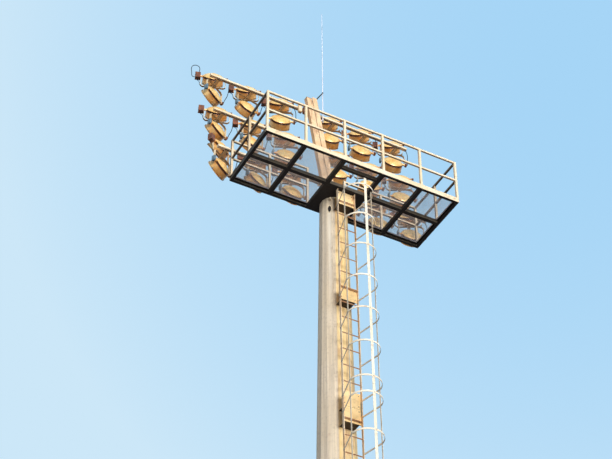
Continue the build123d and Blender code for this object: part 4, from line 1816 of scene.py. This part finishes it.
@dataclass
class LadderWay:
    """Ladder with its safety cage, splice plates and bracket bolts."""

    sizes: Setout
    rack: Rack
    joints: tuple[float, ...] = (19.64, 13.2, 6.76)
    ladder_ends: tuple[float, ...] = (25.37, 0.42)
    cage_ends: tuple[float, ...] = (25.09, 2.6)
    joint_gap: float = 0.004
    radius: float = 0.34
    centre: float = 0.5
    bar: float = 0.04
    thick: float = 0.006
    hoop_pitch: float = 0.92
    end_margin: float = 0.19
    front_strip: float = 0.06
    side_strip: float = 0.04
    arc_steps: int = 18
    seat_gap: float = 0.0003
    bracket_height: float = 0.37

    def sections(self, ends: tuple[float, float]) -> list[tuple[float, float]]:
        """Split a run into its sections, half the joint gap held back at inner ends.

        Args:
            ends: Top and foot of the whole run.

        Returns:
            Foot and top of each section.
        """
        count = len(self.joints)
        marks = [ends[0], *self.joints, ends[1]]
        spans = []
        for place in range(count + 1):
            foot = marks[place + 1] + (self.joint_gap / 2 if place < count else 0)
            top = marks[place] - (self.joint_gap / 2 if place else 0)
            spans.append((foot, top))
        return spans

    def hoop(self) -> Piece:
        """One round hoop of flat bar with straight legs and tabs on the stringers.

        Returns:
            The hoop, at height 0 in the ladder's frame.
        """
        bpy.ops.object.select_all(action="DESELECT")
        bpy.ops.mesh.primitive_plane_add(size=1, location=(0, 0, 0))
        hoop = Bench.settle("cage_hoop", self.rack.cage)
        Bench.edit(hoop)
        bpy.ops.transform.resize(value=(self.thick, self.bar, 1), center_override=(0, 0, 0))
        Bench.close()
        lift = Matrix.Rotation(math.pi / 2, 4, "X")
        hoop.data.transform(Matrix.Translation((-self.radius + self.thick / 2, -self.centre, 0)) @ lift)
        Bench.edit(hoop)
        bpy.ops.mesh.spin(
            steps=self.arc_steps, angle=-math.pi, center=(0, -self.centre, 0), axis=(0, 0, 1)
        )
        Bench.close()
        tab = self.sizes.ladder_width / 2 + self.seat_gap + self.thick / 2
        for side in (-1, 1):
            self.leg(hoop, side, tab)
        Bench.edit(hoop)
        bpy.ops.mesh.remove_doubles(threshold=0.0001)
        bpy.ops.mesh.normals_make_consistent(inside=False)
        Bench.close()
        bpy.ops.object.shade_smooth_by_angle(angle=math.radians(30))
        return hoop

    def leg(self, hoop: Piece, side: int, tab: float) -> None:
        """Extrude the end face of the arc on one side to the stringer and along it.

        Args:
            hoop: The hoop with its arc made.
            side: -1 for the left leg, 1 for the right one.
            tab: Distance of the tab's middle from the ladder's middle.
        """
        bpy.context.tool_settings.mesh_select_mode = (False, False, True)
        Bench.edit(hoop, "DESELECT")
        Bench.close()
        reach = side * (self.radius - self.thick / 2)
        for face in hoop.data.polygons:
            face.select = (
                abs(face.center.x - reach) < 0.001
                and abs(face.center.y + self.centre) < 0.0005
                and abs(face.normal.y) > 0.9
            )
        bpy.ops.object.mode_set(mode="EDIT")
        inward = side * tab - reach
        for move in ((inward, self.centre - 0.03, 0), (0, 0.06, 0)):
            bpy.ops.mesh.extrude_region_move(TRANSFORM_OT_translate={"value": move})
        Bench.close()

    def cage(self, name: str, spans: Sequence[tuple[float, float]]) -> None:
        """Hoops, strips and their bolts over some sections.

        Args:
            name: CAD node that this cage stands for.
            spans: Foot and top of each section.
        """
        inner = self.radius - self.thick
        pieces, places, rivets = [], [], []
        for foot, top in spans:
            count = max(2, round((top - foot - 2 * self.end_margin) / self.hoop_pitch) + 1)
            step = (top - foot - 2 * self.end_margin) / (count - 1)
            heights = [foot + self.end_margin + place * step for place in range(count)]
            places += [Matrix.Translation((0, 0, height)) for height in heights]
            tab = self.sizes.ladder_width / 2 + self.seat_gap + self.thick
            for height in heights:
                rivets += [stand((side * tab, 0, height), (side, 0, 0)) for side in (-1, 1)]
                rivets.append(stand((0, -self.centre - self.radius, height), (0, -1, 0)))
                for side in (-1, 1):
                    rivets.append(stand((side * self.radius, -self.centre, height), (side, 0, 0)))
            half = self.front_strip / 2
            low = (-half, -self.centre - inner, foot)
            high = (half, -self.centre - inner + self.thick, top)
            pieces.append(Bench.block("front_strip", low, high, 0.0015, self.rack.cage))
            for side in (-1, 1):
                edges = sorted((side * inner, side * (inner - self.thick)))
                low = (edges[0], -self.centre - self.side_strip / 2, foot)
                high = (edges[1], -self.centre + self.side_strip / 2, top)
                pieces.append(Bench.block("side_strip", low, high, 0.0015, self.rack.cage))
        pieces.append(Bench.spread("hoops", self.hoop(), places))
        profile = ((-0.001, 0.009), (0.005, 0.008), (0.007, 0.005))
        rivet = Bench.turned("cage_bolt", profile, 6, self.rack.bolt)
        pieces.append(Bench.spread("cage_bolts", rivet, rivets))
        whole = Bench.joined(f"{name}_bars", pieces)
        whole.data.transform(self.sizes.ladder())
        seat(whole, Slot.CREAM)
        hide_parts(name)

    def splices(self) -> None:
        """Splice plate with four bolts inside each stringer at each joint."""
        plate = Bench.block("splice", (0, -0.024, -0.16), (0.006, 0.024, 0.16), 0.0015, self.rack.zinc)
        bolt = Bench.bolt("splice_bolt", 0.014, self.rack.bolt)
        four = Bench.copies(bolt, [stand((0.006, 0, rise), (1, 0, 0)) for rise in (-0.13, -0.05, 0.05, 0.13)])
        whole = Bench.joined("splice_set", [plate, *four])
        inner = self.sizes.ladder_width / 2 - 0.012
        places = []
        for height in self.joints:
            for side in (-1, 1):
                turn = Matrix.Rotation(0 if side < 0 else math.pi, 4, "Z")
                places.append(self.sizes.ladder() @ Matrix.Translation((side * inner, 0, height)) @ turn)
        seat(Bench.spread("ladder_splices", whole, places), Slot.ZINC)

    def bracket_bolts(self) -> None:
        """Four bolts on each bracket plate."""
        bolt = Bench.bolt("bracket_bolt", 0.018, self.rack.bolt)
        places = []
        for foot, top in self.sections(self.ladder_ends):
            highest = top - self.bracket_height
            for height in (foot, (foot + highest) / 2, highest):
                for x in (-0.16, 0.16):
                    for rise in (0.06, 0.31):
                        places.append(self.sizes.ladder() @ stand((x, 0.03, height + rise), (0, -1, 0)))
        seat(Bench.spread("bracket_bolts", bolt, places), Slot.ZINC)

    def build(self) -> None:
        """Dress the ladder and add its pieces."""
        dress(self.rack.ladder, "ladder_upper", "ladder_lower")
        dress(self.rack.bracket, "ladder_brackets")
        spans = self.sections(self.cage_ends)
        self.cage("cage_upper", spans[:2])
        self.cage("cage_lower", spans[2:])
        self.splices()
        self.bracket_bolts()


# Lightning rod


@dataclass
class RodFittings:
    """Clamps of the lightning rod and its black insulating arm."""

    sizes: Setout
    rack: Rack
    arm_top: float = 29.965

    def build(self) -> None:
        """Dress the rod and add its clamps and arm."""
        sizes = self.sizes
        dress(self.rack.rod, "lightning_rod")
        middle = sum(sizes.rod_clamps) / 2
        rod_y = sizes.spine_y(middle) + (sizes.tray_depth - sizes.spine_depth) / 2
        pieces = []
        for height in sizes.rod_clamps:
            z = sizes.platform_underside + height
            low = (sizes.rod_x - 0.018, rod_y - 0.018, z - 0.022)
            high = (sizes.rod_x + 0.018, rod_y + 0.018, z + 0.022)
            pieces.append(Bench.block("rod_clamp", low, high, 0.004, self.rack.zinc))
        seat(Bench.joined("rod_clamps", pieces), Slot.ZINC)
        head = sizes.spine_y(sizes.tray_top)
        foot = Vector((sizes.tray_x + 0.055, head - 0.03, sizes.platform_underside + sizes.tray_top - 0.02))
        top = Vector((sizes.rod_x, rod_y, self.arm_top))
        arm = Bench.rod("insulating_arm", foot, top, 0.014, 10, self.rack.rubber)
        ends = (top - UP * 0.02, top + UP * 0.02)
        collar = Bench.rod("arm_collar", *ends, 0.016, 10, self.rack.rubber)
        seat(Bench.joined("rod_insulator", [arm, collar]), Slot.RUBBER)


# Studio


@dataclass
class Studio:
    """Camera at the photograph's angle, soft light, pale floor and backdrop."""

    eye: tuple[float, float, float] = (-12.876, -22.805, 1.614)
    turn: tuple[float, float, float] = (131.428, 0.0, -28.137)
    lens: float = 94.33
    to_sun: tuple[float, float, float] = (-0.14, -0.98, 0.08)
    sun_strength: float = 3.4
    to_fill: tuple[float, float, float] = (-0.12, -0.75, -0.65)
    fill_strength: float = 0.95
    ambient: float = 0.42
    deepest: tuple[float, float, float] = (0.46, 0.50, 0.73)
    floor_half: float = 150.0
    floor_glow: float = 0.42
    sensor: float = 36
    sight: float = 500
    sun_soft: float = 24
    fill_soft: float = 70
    sky_from: float = 0.93
    sky_pale: str = "CCE7F8"
    sky_deep: str = "A4D4F6"

    def camera(self) -> None:
        """Camera at the photograph's place, angle and lens."""
        data = bpy.data.cameras.new("camera")
        data.lens = self.lens
        data.sensor_width = self.sensor
        data.clip_end = self.sight
        camera = bpy.data.objects.new("camera", data)
        camera.location = self.eye
        camera.rotation_euler = [math.radians(angle) for angle in self.turn]
        bpy.context.scene.collection.objects.link(camera)
        bpy.context.scene.camera = camera

    def light(self) -> None:
        """Low sun, and a soft fill from the pale ground."""
        for name, strength, soft, toward in (
            ("sun", self.sun_strength, self.sun_soft, self.to_sun),
            ("fill", self.fill_strength, self.fill_soft, self.to_fill),
        ):
            data = bpy.data.lights.new(name, "SUN")
            data.energy = strength
            data.angle = math.radians(soft)
            lamp = bpy.data.objects.new(name, data)
            lamp.rotation_euler = Vector(toward).to_track_quat("Z", "Y").to_euler()
            bpy.context.scene.collection.objects.link(lamp)

    def backdrop(self) -> None:
        """Sky for the camera and for gloss, over a quiet world that lights the object."""
        sky = Graph("backdrop", world=True)
        along = sky.node("ShaderNodeVectorMath", operation="DOT_PRODUCT")
        along.inputs[1].default_value = self.deepest
        sky.feed(along.inputs[0], sky.where)
        share = sky.band(along.outputs["Value"], self.sky_from, 1)
        sky.set(Color=sky.mix(share, self.sky_pale, self.sky_deep))
        quiet = sky.node("ShaderNodeBackground")
        sky.feed(quiet.inputs["Color"], linear("DCE8FF"))
        sky.feed(quiet.inputs["Strength"], self.ambient)
        path = sky.node("ShaderNodeLightPath").outputs
        seen = sky.sum("MAXIMUM", path["Is Camera Ray"], path["Is Glossy Ray"])
        seen = sky.sum("MAXIMUM", seen, path["Is Transmission Ray"])
        mixer = sky.node("ShaderNodeMixShader")
        for place, source in enumerate((seen, quiet.outputs[0], sky.shader.outputs[0])):
            sky.feed(mixer.inputs[place], source)
        sky.feed(sky.tree.nodes["World Output"].inputs["Surface"], mixer.outputs[0])
        bpy.context.scene.world = sky.owner
        bpy.context.scene.view_settings.view_transform = "Standard"

    def floor(self) -> None:
        """Pale floor that stays out of the object's undersides."""
        bpy.ops.object.select_all(action="DESELECT")
        bpy.ops.mesh.primitive_plane_add(size=2 * self.floor_half, location=(0, 0, 0))
        floor = bpy.context.object
        floor.name = "floor"
        graph = Graph("pale_floor")
        seen = graph.node("ShaderNodeLightPath").outputs["Is Camera Ray"]
        graph.set(
            Base_Color=graph.mix(seen, "8C867C", "DAE4EA"),
            Emission_Color=linear("DAE4EA"),
            Emission_Strength=graph.sum("MULTIPLY", seen, self.floor_glow),
            Roughness=0.9,
        )
        floor.data.materials.append(graph.owner)
        floor.visible_shadow = False

    def build(self) -> None:
        """Set up the studio."""
        self.camera()
        self.light()
        self.backdrop()
        self.floor()


def main() -> None:
    """Build every sub-assembly in order."""
    logging.basicConfig(level=logging.INFO, format="%(name)s: %(message)s")
    sizes, rack = Setout(), Rack()
    Studio().build()
    for maker in (
        FloodlightBank(sizes, rack),
        Foot(sizes, rack),
        Mast(sizes, rack),
        Platform(sizes, rack),
        Headframe(sizes, rack),
        LadderWay(sizes, rack),
        RodFittings(sizes, rack),
    ):
        maker.build()
        LOG.info("built %s", type(maker).__name__)


if __name__ == "__main__":
    main()
